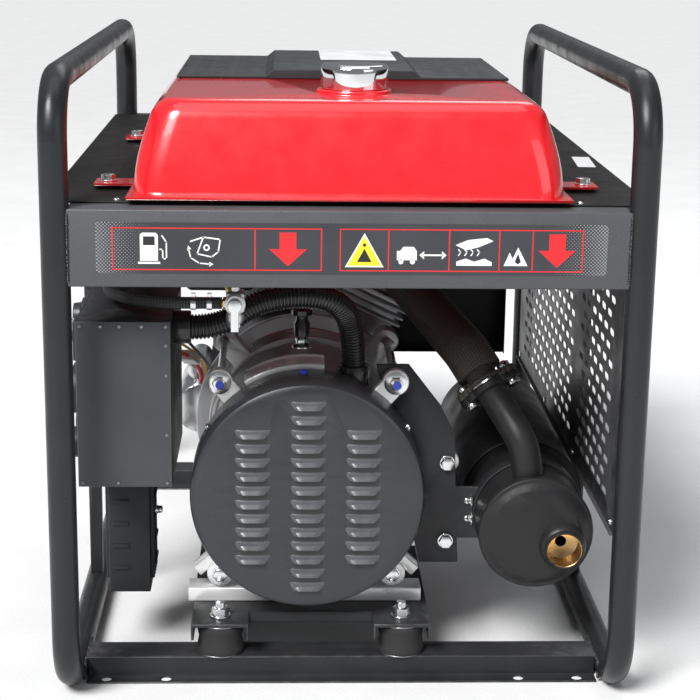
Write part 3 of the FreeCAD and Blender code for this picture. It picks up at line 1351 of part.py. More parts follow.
muffler_pipe, exhaust_pipe = exhaust_pipes()
node("exhaust_pipe", exhaust_pipe)
node("muffler_pipe", muffler_pipe)
can_in = "muffler_radius - muffler_wall"
can = turned("MufflerCan", [
    ("0", "0"), ("muffler_radius - 10", "0"), ("muffler_radius - 2", "5"),
    ("muffler_radius + 1.5", "5"), ("muffler_radius + 1.5", "10"), ("muffler_radius", "10"),
    ("muffler_radius", "muffler_length - 10"), ("muffler_radius + 1.5", "muffler_length - 10"),
    ("muffler_radius + 1.5", "muffler_length - 5"), ("muffler_radius - 2", "muffler_length - 5"),
    ("muffler_radius - 10", "muffler_length"), ("0", "muffler_length")],
    ("muffler_x", "muffler_front", "muffler_z"))
stub = rod("OutletStub", "outlet_radius", ("outlet_x", "muffler_front", "outlet_z"),
           "outlet_proud", "-Y")
can_hollow = rod("CanHollow", can_in, ("muffler_x", "muffler_front + 7", "muffler_z"),
                 "muffler_length - 14", "Y")
stub_bore = rod("StubBore", "outlet_radius - 2", ("outlet_x", "muffler_front + 12", "outlet_z"),
                "outlet_proud + 40", "-Y")
stub_inside = tube("StubInside", "outlet_radius - 0.6", "outlet_radius - 2",
                   ("outlet_x", "muffler_front + 30", "outlet_z"), "32", "-Y")
muffler = cut("MufflerShell", fuse("MufflerBlank", can, stub), can_hollow, stub_bore)
muffler = fuse("MufflerWithStub", muffler, stub_inside)
doc.recompute()
node("muffler", feature("Muffler", muffler.Shape.cut(muffler_pipe.Shape)))


def heat_shield():
    """A half round sheet over the muffler, on three saddles."""
    y, length = "shield_front", "muffler_back - shield_front - 20"
    spot = ("muffler_x", y, "muffler_z")
    sheet = tube("ShieldSheet", "shield_radius", "shield_radius - shield_wall", spot, length, "Y")
    saddles = [tube(f"Saddle{number}", "shield_radius - shield_wall / 2", "muffler_radius",
                    ("muffler_x", f"{y} + ({length}) * {share} + 4", "muffler_z"), "8", "Y")
               for number, share in enumerate((0.0, 0.47, 0.94))]
    below = block("ShieldBelow", "muffler_x - 100", "muffler_x + 100", f"{y} - 5",
                  "muffler_back + 5", "muffler_z - 100", "muffler_z + 6")
    return cut("HeatShield", fuse("ShieldBlank", sheet, *saddles), below)


node("heat_shield", heat_shield())


def muffler_bracket():
    """A plate from the alternator's ear and lugs to a band round the muffler."""
    plate = padded("BracketPlate", "XZ_Plane", [
        ("axis_x + 72", "axis_z + ear_dz + 17"), ("axis_x + ear_dx + 14", "axis_z + ear_dz + 17"),
        ("axis_x + 141", "axis_z + 79"), ("axis_x + 157", "axis_z + 47"),
        ("axis_x + 164", "axis_z - 98"), ("axis_x + 122", "axis_z - 98"),
        ("axis_x + 96", "axis_z + 20")], "plate_thick", ("0", BRACKET_BACK, "0"))
    tongue = block("BracketTongue", "axis_x + 150", "muffler_x - muffler_radius * 0.8",
                   f"{BRACKET_BACK} - plate_thick", BRACKET_BACK, "muffler_z - 30",
                   "muffler_z + 28")
    band = rod("BracketBand", "muffler_radius + 2.2",
               ("muffler_x", f"{BRACKET_BACK} - 14", "muffler_z"), "22", "Y")
    tools = [bore("BandBore", "muffler_radius + 0.2",
                  ("muffler_x", f"{BRACKET_BACK} - 14", "muffler_z"), "22", "Y"),
             bore("RingClear", "bell_radius + 2", on_axis("bell_front"), "30", "Y")]
    holes = [(f"axis_x + ear_dx", "axis_z + ear_dz")] + LUG_SPOTS
    for number, (x, z) in enumerate(holes):
        tools.append(bore(f"PlateBore{number}", "tie_bolt_radius + stud_play",
                          (x, f"{BRACKET_BACK} - plate_thick", z), "plate_thick", "Y"))
    return cut("MufflerBracket", fuse("BracketWelded", plate, tongue, band), *tools)


node("muffler_bracket", muffler_bracket())


def flange_bolt(name, sign):
    """One bolt through the two exhaust flanges, with its nut."""
    centre = FLANGE + FLANGE_SIDE * (sign * BOLT_REACH)
    base = centre - FLANGE_AIM * (FLANGE_THICK + 6)
    shape = Part.makeCylinder(4, 2 * FLANGE_THICK + 14, base, FLANGE_AIM)
    for start, height in ((-FLANGE_THICK - 6, 6), (FLANGE_THICK, 6)):
        corner = centre + FLANGE_AIM * start
        shape = shape.fuse(Part.makeCylinder(7, height, corner, FLANGE_AIM))
    return feature(name, shape)


lug_bolts = [bolt(f"LugBolt{number}", "tie_bolt_radius",
                  (x, f"{BRACKET_BACK} - plate_thick", z), "plate_thick + 14", "Y")
             for number, (x, z) in enumerate(LUG_SPOTS)]
node("exhaust_bolts", group("ExhaustBolts", flange_bolt("FlangeBolt0", -1),
                            flange_bolt("FlangeBolt1", 1), *lug_bolts))

# ---------------------------------------------------------------- control box


def control_box():
    """A sheet box that is open to the front and to the left, hung from the tray by a strap."""
    shell = block("BoxShell", "box_left", "box_right", "box_front", "box_back",
                  "box_bottom", "box_top")
    hollow = block("BoxHollow", "box_left - 1", "box_right - box_wall", "box_front - 1",
                   "box_back - box_wall", "box_bottom + box_wall", "box_top - box_wall")
    gland_hole = bore("BoxGlandHole", "conduit_radius",
                      ("box_right - box_wall", "gland_y", "gland_z"), "box_wall", "X")
    strap_end = "-pan_half_width - tank_gap - 2"
    strap = block("BoxStrap", f"{strap_end} - 30", strap_end, "box_back", "box_back + 3",
                  "box_bottom + 40", "tray_bottom")
    foot = block("StrapFoot", f"{strap_end} - 30", strap_end, "box_back", "box_back + 32",
                 "tray_bottom - 3", "tray_bottom")
    return fuse("ControlBox", cut("BoxSheet", shell, hollow, gland_hole), strap, foot)


node("control_box", control_box())
node("box_lid", block("BoxLid", "box_left - panel_thick", "box_right", "box_front - 2",
                      "box_front", "box_bottom", "box_top"))
PANEL_FACE = "box_left - panel_thick"
WELD_SPOTS = [("box_middle - 42", "box_bottom + 32"), ("box_middle + 42", "box_bottom + 32")]
OUTLET_SPOT = ("box_middle - 42", "box_bottom + 90")
METER_SPOT = ("box_middle + 42", "box_bottom + 90")
KNOB_SPOT = ("box_middle + 52", "box_bottom + 144")
KEY_SPOT = ("box_middle + 2", "box_bottom + 144")
BREAKER_SPOT = ("box_middle - 48", "box_bottom + 144")


def control_panel():
    """The panel on the left of the box, with the power outlet and the meter on it."""
    plate = block("PanelPlate", PANEL_FACE, "box_left", "box_front", "box_back",
                  "box_bottom", "box_top")
    outlet_y, outlet_z = OUTLET_SPOT
    meter_y, meter_z = METER_SPOT
    outlet = rod("OutletCup", "26", (f"{PANEL_FACE} - 8", outlet_y, outlet_z), "24", "X")
    meter = rod("MeterCase", "24", (f"{PANEL_FACE} - 6", meter_y, meter_z), "30", "X")
    breaker = block("BreakerCase", f"{PANEL_FACE} - 6", "box_left + 24", f"{BREAKER_SPOT[0]} - 16",
                    f"{BREAKER_SPOT[0]} + 16", f"{BREAKER_SPOT[1]} - 20", f"{BREAKER_SPOT[1]} + 20")
    tools = [rod("OutletRecess", "19.5", (f"{PANEL_FACE} - 9", outlet_y, outlet_z), "16", "X"),
             block("BreakerSlot", f"{PANEL_FACE} - 7", f"{PANEL_FACE} + 4",
                   f"{BREAKER_SPOT[0]} - 7", f"{BREAKER_SPOT[0]} + 7",
                   f"{BREAKER_SPOT[1]} - 15", f"{BREAKER_SPOT[1]} + 15")]
    for number, (y, z) in enumerate(WELD_SPOTS):
        tools.append(bore(f"WeldHole{number}", "11", (PANEL_FACE, y, z), "panel_thick", "X"))
    for name, (y, z) in (("Knob", KNOB_SPOT), ("Key", KEY_SPOT)):
        tools.append(bore(f"{name}Hole", "5", (PANEL_FACE, y, z), "panel_thick", "X"))
    return cut("ControlPanel", fuse("PanelBlank", plate, outlet, meter, breaker), *tools)


node("control_panel", control_panel())
node("current_knob", turned("CurrentKnob", [
    ("0", "-6 - panel_thick"), ("4.9", "-6 - panel_thick"), ("4.9", "cover_fit"),
    ("20", "cover_fit"), ("20", "8"), ("15", "10"), ("14", "18"), ("0", "18")],
    (PANEL_FACE, *KNOB_SPOT), "-X"))
node("ignition_key", fuse(
    "IgnitionKey", turned("KeyBarrel", [
        ("0", "-6 - panel_thick"), ("4.9", "-6 - panel_thick"), ("4.9", "cover_fit"),
        ("11", "cover_fit"), ("11", "6"), ("0", "6")], (PANEL_FACE, *KEY_SPOT), "-X"),
    block("KeyBow", f"{PANEL_FACE} - 22", f"{PANEL_FACE} - 5", f"{KEY_SPOT[0]} - 1.5",
          f"{KEY_SPOT[0]} + 1.5", f"{KEY_SPOT[1]} - 9", f"{KEY_SPOT[1]} + 9")))
breaker_y, breaker_z = BREAKER_SPOT


def breaker_tongue():
    """The breaker's tongue, tilted up to its on position about the pivot."""
    piece = block("BreakerTongue", "0", "16", "0", "10", "0", "8")
    tilt, reach, half = 18, 16, 4
    put(piece, (f"{PANEL_FACE} - 2 - {reach} * cos({tilt}) - {half} * sin({tilt})",
                f"{breaker_y} - 5",
                f"{breaker_z} + {reach} * sin({tilt}) - {half} * cos({tilt})"),
        FreeCAD.Rotation(Vector(0, 1, 0), tilt))
    return piece


node("breaker_lever", fuse(
    "BreakerLever", rod("BreakerPivot", "5", (f"{PANEL_FACE} - 2", f"{breaker_y} - 6.5",
                                              breaker_z), "13", "Y"),
    breaker_tongue()))
node("weld_terminals", group("WeldTerminals", *[
    cut(f"WeldTerminal{number}",
        fuse(f"WeldBody{number}", rod(f"WeldCollar{number}", "16", (PANEL_FACE, y, z), "16", "-X"),
             rod(f"WeldTail{number}", "10.8", (PANEL_FACE, y, z), "24", "X")),
        rod(f"WeldSocket{number}", "6.6", (f"{PANEL_FACE} - 17", y, z), "31", "X"))
    for number, (y, z) in enumerate(WELD_SPOTS)]))


def rectifier_housing():
    """The ribbed rectifier housing that hangs under the control box."""
    left, right = "box_left + 19", "box_left + 63"
    front, back = "box_front + 83", "box_front + 145"
    bottom = "box_bottom - housing_height"
    core = block("HousingCore", left, right, front, back, bottom, "box_bottom")
    ribs = [block(f"HousingRib{number}", f"{left} - 4", f"{right} + 4", f"{front} + {10 * number}",
                  f"{front} + {10 * number} + 3", f"{bottom} + 12", "box_bottom - 8")
            for number in range(1, 6)]
    return fuse("RectifierHousing", core, *ribs)


node("rectifier_housing", rectifier_housing())

# ---------------------------------------------------------------- conduit

box_gland = (("box_right", "gland_y", "gland_z"), "18", "X")
bell_gland = (("axis_x + 48", "bell_front + 22", "axis_z + bell_radius * 0.88"), "22", "Z")
node("conduit_glands", group("ConduitGlands", *[
    cut(f"ConduitGland{number}",
        cut(f"GlandSeated{number}", rod(f"GlandBody{number}", "gland_radius", spot, length, aim),
            rod(f"GlandSeat{number}", "bell_radius", on_axis("bell_front - 60"), "200", "Y")),
        bore(f"GlandBore{number}", "conduit_radius - 3", spot, length, aim))
    for number, (spot, length, aim) in enumerate((box_gland, bell_gland))]))
conduit_start = Vector(value("box_right") + 18, value("gland_y"), value("gland_z"))
conduit_end = Vector(value("axis_x") + 48, value("bell_front") + 22,
                     value("axis_z") + value("bell_radius") * 0.88 + 22)
conduit_route = [
    conduit_start,
    conduit_start + Vector(30, 0, 0),
    conduit_start + Vector(66, 2, 26),
    Vector(conduit_end.x - 58, value("gland_y") + 8, conduit_end.z + 84),
    Vector(conduit_end.x - 18, value("gland_y") + 20, conduit_end.z + 76),
    Vector(conduit_end.x, conduit_end.y, conduit_end.z + 42),
    conduit_end,
]
node("conduit", feature("Conduit", bent_tube("conduit", conduit_route, value("conduit_radius"))))

# ---------------------------------------------------------------- check and write

doc.recompute()
faults = [item.Name for item in doc.Objects
          if "Invalid" in item.State or "Error" in item.State]
for piece in nodes:
    if piece.Shape.isNull() or not piece.Shape.isValid() or not piece.Shape.Solids:
        faults.append(piece.Label)
if faults:
    raise RuntimeError("failed objects: " + ", ".join(faults))
if len({piece.Label for piece in nodes}) != len(nodes):
    raise RuntimeError("two nodes share a name")
os.makedirs("parts", exist_ok=True)
for piece in nodes:
    piece.Shape.exportStep(os.path.join("parts", piece.Label + ".step"))
print(f"{len(nodes)} nodes written")
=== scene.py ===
"""Engine driven welder: the looks of an open tube frame with its engine, alternator and tank.

X is to the right, Y to the back and Z up, in metres. The alternator end faces -Y, and the
origin is the middle of the base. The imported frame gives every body, node and size.
"""

import json
import logging
import math
import random
from dataclasses import dataclass
from enum import Enum
from typing import Callable, Sequence

import bmesh
import bpy
from mathutils import Matrix, Vector


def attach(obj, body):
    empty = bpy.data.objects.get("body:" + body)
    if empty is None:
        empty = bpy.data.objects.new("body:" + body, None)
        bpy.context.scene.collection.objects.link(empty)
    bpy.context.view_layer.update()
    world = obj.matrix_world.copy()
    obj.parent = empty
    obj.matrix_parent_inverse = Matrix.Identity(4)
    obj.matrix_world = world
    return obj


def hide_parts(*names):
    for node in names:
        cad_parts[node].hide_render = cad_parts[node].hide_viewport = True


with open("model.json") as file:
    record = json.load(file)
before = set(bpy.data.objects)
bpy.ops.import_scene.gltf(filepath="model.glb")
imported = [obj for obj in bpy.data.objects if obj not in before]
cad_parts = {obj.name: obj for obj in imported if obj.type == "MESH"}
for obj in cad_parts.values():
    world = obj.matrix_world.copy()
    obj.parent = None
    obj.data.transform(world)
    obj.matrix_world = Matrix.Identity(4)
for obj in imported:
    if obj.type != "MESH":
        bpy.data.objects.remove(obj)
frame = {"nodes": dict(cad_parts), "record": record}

LOG = logging.getLogger("welder")
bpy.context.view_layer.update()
MM = 0.001
FULL_TURN = math.tau
MERGE = 2e-6
CUT_SLACK = 1e-6
FLAT_ANGLE = 1.0
SHARP_ANGLE = 32.0
AXIS_X = -38 * MM
AXIS_Z = 198 * MM

Point = Sequence[float]
Colour = tuple[float, float, float]


def at_mm(*place: float) -> tuple[float, ...]:
    """Return a place given in millimetres, in metres."""
    return tuple(c * MM for c in place)


def outline_mm(*points: Point) -> list[tuple[float, ...]]:
    """Return an outline's points given in millimetres, in metres."""
    return [at_mm(*point) for point in points]


class Body(Enum):
    """The bodies that pieces ride on."""

    FRAME = "frame"
    CAP = "cap"
    TAP = "tap_lever"
    GRIP = "pull_grip"
    KNOB = "knob"
    DIPSTICK = "dipstick"
    ROTATING = "rotating_set"
    CHOKE = "choke"
    KEY = "key"
    BREAKER = "breaker"


class Facing(Enum):
    """The direction in which a screw head or a printed shape faces."""

    FRONT = (0.0, -1.0, 0.0)
    BACK = (0.0, 1.0, 0.0)
    LEFT = (-1.0, 0.0, 0.0)
    RIGHT = (1.0, 0.0, 0.0)
    UP = (0.0, 0.0, 1.0)


# ------------------------------------------------------------------------------- finishes


class Graph:
    """A material's node tree, with short ways to add its usual nodes."""

    def __init__(self, name: str) -> None:
        """Start a material.

        Args:
            name: The material's name.
        """
        self.material = bpy.data.materials.new(name)
        self.material.use_nodes = True
        self.nodes = self.material.node_tree.nodes
        self.links = self.material.node_tree.links
        self.shader = self.nodes["Principled BSDF"]
        self.place = self.nodes.new("ShaderNodeTexCoord").outputs["Object"]

    def node(self, kind: str, values: dict | None = None, **settings: object) -> bpy.types.Node:
        """Add one node.

        Args:
            kind: The node's type without its "ShaderNode" start.
            values: Values or sockets for the inputs, by name or number.
            **settings: The node's own settings.

        Returns:
            The node.
        """
        made = self.nodes.new("ShaderNode" + kind)
        for name, value in settings.items():
            setattr(made, name, value)
        for name, value in (values or {}).items():
            self.feed(made.inputs[name], value)
        return made

    def feed(self, socket: bpy.types.NodeSocket, value: object) -> None:
        """Give a socket a value, or link another socket to it."""
        if isinstance(value, bpy.types.NodeSocket):
            self.links.new(value, socket)
        elif socket.type == "RGBA" and len(value) == 3:
            socket.default_value = (*value, 1.0)
        else:
            socket.default_value = value

    def sum(self, operation: str, first: object, second: object = 0.0) -> bpy.types.NodeSocket:
        """Return the result of one Math node."""
        return self.node("Math", {0: first, 1: second}, operation=operation).outputs[0]

    def noise(self, scale: float, detail: float = 3.0, stretch: Point = (1, 1, 1)) -> bpy.types.NodeSocket:
        """Return a noise pattern's value, 0 to 1.

        Args:
            scale: How many grains there are in a metre.
            detail: How many finer layers the pattern has.
            stretch: The pattern's scale along each axis.
        """
        spot = self.node("Mapping", {"Vector": self.place, "Scale": tuple(stretch)}).outputs[0]
        made = self.node("TexNoise", {"Vector": spot, "Scale": scale, "Detail": detail})
        return made.outputs["Fac"]

    def ramp(self, value: object, *stops: tuple[float, float]) -> bpy.types.NodeSocket:
        """Return value mapped through straight stops of (position, grey)."""
        made = self.node("ValToRGB", {"Fac": value})
        points = made.color_ramp.elements
        while len(points) < len(stops):
            points.new(0.5)
        for point, (position, grey) in zip(points, stops):
            point.position = position
            point.color = (grey, grey, grey, 1.0)
        return made.outputs["Color"]

    def mix(self, share: object, first: object, second: object) -> bpy.types.NodeSocket:
        """Return the colour that lies a share of the way from first to second."""
        made = self.node("Mix", data_type="RGBA")
        for socket, value in zip((made.inputs[0], made.inputs[6], made.inputs[7]), (share, first, second)):
            self.feed(socket, value)
        return made.outputs[2]

    def bump(self, height: object, depth: float, strength: float = 1.0) -> None:
        """Raise the surface by height, 0 to 1, times depth in metres, over any earlier bump."""
        values = {"Height": height, "Distance": depth, "Strength": strength}
        linked = self.shader.inputs["Normal"].links
        if linked:
            values["Normal"] = linked[0].from_socket
        self.feed(self.shader.inputs["Normal"], self.node("Bump", values).outputs[0])

    def upward(self) -> bpy.types.NodeSocket:
        """Return how far the surface faces up, -1 to 1."""
        way = self.node("NewGeometry").outputs["Normal"]
        return self.node("SeparateXYZ", {0: way}).outputs["Z"]

    def worn_edges(self, amount: float) -> bpy.types.NodeSocket:
        """Return where the finish has worn off outer edges, 0 to 1.

        Args:
            amount: How much is worn, 0 to 1.
        """
        edge = self.node("NewGeometry").outputs["Pointiness"]
        broken = self.sum("ADD", edge, self.sum("MULTIPLY", self.noise(90, 5), 0.06))
        start = 0.60 - 0.04 * amount
        return self.ramp(broken, (start, 0.0), (start + 0.03, amount))


class Finish:
    """A surface finish. Its material is made the first time that it is asked for."""

    name: str

    def paint(self, graph: Graph) -> None:
        """Fill in the material's nodes."""
        raise NotImplementedError

    def material(self) -> bpy.types.Material:
        """Return the finish's material."""
        found = bpy.data.materials.get(self.name)
        if found:
            return found
        graph = Graph(self.name)
        self.paint(graph)
        return graph.material


@dataclass(frozen=True)
class Coated(Finish):
    """Powder coat or moulded plastic: a fine grain, cloudy colour, dust on top, worn edges."""

    name: str
    colour: Colour
    lighter: Colour
    roughness: float = 0.45
    grain: float = 900.0
    grain_depth: float = 0.00012
    dust: float = 0.10
    wear: float = 0.25
    bare: Colour = (0.30, 0.30, 0.31)
    gloss: float = 0.5

    def paint(self, graph: Graph) -> None:
        """Fill in the material's nodes."""
        cloud = graph.ramp(graph.noise(9, 4), (0.35, 0.0), (0.68, 1.0))
        tone = graph.mix(cloud, self.colour, self.lighter)
        fleck = graph.ramp(graph.noise(self.grain * 1.3, 2), (0.40, 0.0), (0.75, 0.35))
        tone = graph.mix(fleck, tone, tuple(min(1.0, c * 1.7 + 0.01) for c in self.colour))
        up = graph.ramp(graph.upward(), (0.55, 0.0), (1.0, self.dust))
        settled = graph.sum("MULTIPLY", up, graph.ramp(graph.noise(26, 6), (0.35, 0.25), (0.7, 1.0)))
        tone = graph.mix(settled, tone, (0.34, 0.32, 0.29))
        tone = graph.mix(graph.worn_edges(self.wear), tone, self.bare)
        graph.feed(graph.shader.inputs["Base Color"], tone)
        graph.feed(graph.shader.inputs["Specular IOR Level"], self.gloss)
        scuffed = graph.ramp(graph.noise(35, 6), (0.3, self.roughness - 0.06), (0.72, self.roughness + 0.12))
        graph.feed(graph.shader.inputs["Roughness"], scuffed)
        graph.bump(graph.noise(self.grain, 3), self.grain_depth)
        graph.bump(graph.noise(14, 2), 0.0004)


@dataclass(frozen=True)
class Gloss(Finish):
    """Baked enamel: deep colour under a clear coat with slight waves, fine dust and hairlines."""

    name: str
    colour: Colour
    darker: Colour
    coat: float = 1.0

    def paint(self, graph: Graph) -> None:
        """Fill in the material's nodes."""
        cloud = graph.ramp(graph.noise(5, 3), (0.3, 0.0), (0.75, 1.0))
        tone = graph.mix(cloud, self.colour, self.darker)
        hairs = graph.noise(60, 6, (1, 14, 1))
        tone = graph.mix(graph.ramp(hairs, (0.70, 0.0), (0.86, 0.03)), tone, (0.85, 0.55, 0.5))
        graph.feed(graph.shader.inputs["Base Color"], tone)
        graph.feed(graph.shader.inputs["Roughness"],
                   graph.ramp(graph.noise(40, 5), (0.3, 0.24), (0.7, 0.36)))
        graph.feed(graph.shader.inputs["Coat Weight"], self.coat)
        graph.feed(graph.shader.inputs["Coat Roughness"], 0.05)
        graph.bump(graph.noise(420, 2), 0.00002)
        graph.bump(graph.noise(9, 1), 0.0005)


@dataclass(frozen=True)
class Metal(Finish):
    """Bare, plated or cast metal with grain, stains and rubbed patches."""

    name: str
    colour: Colour
    stain: Colour
    roughness: float = 0.35
    metallic: float = 1.0
    grain: float = 700.0
    grain_depth: float = 0.00004
    stretch: tuple[float, float, float] = (1.0, 1.0, 1.0)
    stained: float = 0.5

    def paint(self, graph: Graph) -> None:
        """Fill in the material's nodes."""
        patch = graph.ramp(graph.noise(45, 6), (0.42, 0.0), (0.72, self.stained))
        tone = graph.mix(patch, self.colour, self.stain)
        speck = graph.ramp(graph.noise(self.grain, 4, self.stretch), (0.30, 0.0), (0.80, 0.45))
        tone = graph.mix(speck, tone, tuple(c * 0.72 for c in self.colour))
        graph.feed(graph.shader.inputs["Base Color"], tone)
        graph.feed(graph.shader.inputs["Metallic"], self.metallic)
        rough = graph.ramp(graph.noise(70, 5), (0.3, self.roughness * 0.75), (0.75, self.roughness * 1.3))
        graph.feed(graph.shader.inputs["Roughness"], rough)
        graph.bump(graph.noise(self.grain, 4, self.stretch), self.grain_depth)


@dataclass(frozen=True)
class Woven(Finish):
    """A braided or woven sleeve: threads cross on the piece's own UV map."""

    name: str
    thread: Colour
    shade: Colour
    speck: Colour
    across: float = 24.0
    along: float = 24.0
    specks: float = 0.2
    depth: float = 0.0005

    def paint(self, graph: Graph) -> None:
        """Fill in the material's nodes."""
        flat = graph.nodes.new("ShaderNodeTexCoord").outputs["UV"]
        split = graph.node("SeparateXYZ", {0: flat})
        turn = graph.sum("MULTIPLY", split.outputs["X"], self.across * FULL_TURN)
        run = graph.sum("MULTIPLY", split.outputs["Y"], self.along * FULL_TURN)
        first = graph.sum("SINE", graph.sum("ADD", turn, run))
        second = graph.sum("SINE", graph.sum("SUBTRACT", turn, run))
        weave = graph.sum("MULTIPLY_ADD", graph.sum("MULTIPLY", first, second), 0.5)
        weave.node.inputs[2].default_value = 0.5
        tone = graph.mix(weave, self.shade, self.thread)
        fleck = graph.ramp(graph.noise(900, 2), (0.62, 0.0), (0.70, self.specks))
        tone = graph.mix(graph.sum("MULTIPLY", fleck, weave), tone, self.speck)
        graph.feed(graph.shader.inputs["Base Color"], tone)
        graph.feed(graph.shader.inputs["Roughness"], graph.ramp(weave, (0.0, 0.85), (1.0, 0.55)))
        graph.bump(weave, self.depth)
        graph.bump(graph.noise(1500, 2), 0.0002)


@dataclass(frozen=True)
class Film(Finish):
    """A printed film: a dark grained ground with pale dots that shrink towards its middle."""

    name: str
    ground: Colour
    dot: Colour
    half_length: float
    pitch: float = 2.4 * MM
    fade: float = 60 * MM

    def paint(self, graph: Graph) -> None:
        """Fill in the material's nodes."""
        cell = graph.node("VectorMath", {0: graph.place, 3: 1 / self.pitch}, operation="SCALE")
        turned = graph.node("VectorRotate", {"Vector": cell.outputs[0], "Angle": math.radians(45)})
        turned.rotation_type = "Y_AXIS"
        part = graph.node("VectorMath", {0: turned.outputs[0]}, operation="FRACTION").outputs[0]
        middle = graph.node("VectorMath", {0: part, 1: (0.5, 0.0, 0.5)}, operation="SUBTRACT").outputs[0]
        split = graph.node("SeparateXYZ", {0: middle})
        square_x = graph.sum("POWER", split.outputs["X"], 2.0)
        square_z = graph.sum("POWER", split.outputs["Z"], 2.0)
        reach = graph.sum("SQRT", graph.sum("ADD", square_x, square_z))
        side = graph.sum("ABSOLUTE", graph.node("SeparateXYZ", {0: graph.place}).outputs["X"])
        far = graph.node("MapRange", {0: side, 1: self.half_length - self.fade, 2: self.half_length})
        size = graph.sum("MULTIPLY", far.outputs[0], 0.40)
        inside = graph.sum("LESS_THAN", reach, size)
        cloud = graph.ramp(graph.noise(12, 4), (0.3, 0.0), (0.7, 0.5))
        ground = graph.mix(cloud, self.ground, tuple(c * 1.6 for c in self.ground))
        tone = graph.mix(graph.sum("MULTIPLY", inside, 0.55), ground, self.dot)
        graph.feed(graph.shader.inputs["Base Color"], tone)
        graph.feed(graph.shader.inputs["Roughness"],
                   graph.ramp(graph.noise(50, 5), (0.3, 0.34), (0.7, 0.52)))
        graph.bump(graph.noise(1300, 3), 0.00008)


@dataclass(frozen=True)
class Layered(Finish):
    """Stacked thin sheets or wound wire: fine lines across one axis."""

    name: str
    colour: Colour
    gap: Colour
    lines: float
    axis: int = 1
    metallic: float = 0.8
    roughness: float = 0.4

    def paint(self, graph: Graph) -> None:
        """Fill in the material's nodes."""
        spot = graph.node("SeparateXYZ", {0: graph.place}).outputs[self.axis]
        wave = graph.sum("SINE", graph.sum("MULTIPLY", spot, self.lines * FULL_TURN))
        level = graph.sum("MULTIPLY_ADD", wave, 0.5)
        level.node.inputs[2].default_value = 0.5
        patch = graph.mix(graph.ramp(graph.noise(60, 5), (0.4, 0.0), (0.7, 0.6)), self.colour, self.gap)
        tone = graph.mix(graph.ramp(level, (0.1, 0.0), (0.5, 1.0)), self.gap, patch)
        graph.feed(graph.shader.inputs["Base Color"], tone)
        graph.feed(graph.shader.inputs["Metallic"], self.metallic)
        graph.feed(graph.shader.inputs["Roughness"], graph.ramp(graph.noise(80, 4), (0.3, self.roughness),
                                                                (0.7, self.roughness + 0.2)))
        graph.bump(level, 0.0004)


# ------------------------------------------------------------------------ shapes and pieces


def aim(origin: Point, way: Point, roll: float = 0.0) -> Matrix:
    """Return the placement that lays a shape's own Z along a direction.

    Args:
        origin: Where the shape's own origin goes.
        way: Where its own Z points.
        roll: A turn about its own Z first, in radians.
    """
    turn = Vector(way).normalized().to_track_quat("Z", "Y").to_matrix().to_4x4()
    return Matrix.Translation(Vector(origin)) @ turn @ Matrix.Rotation(roll, 4, "Z")


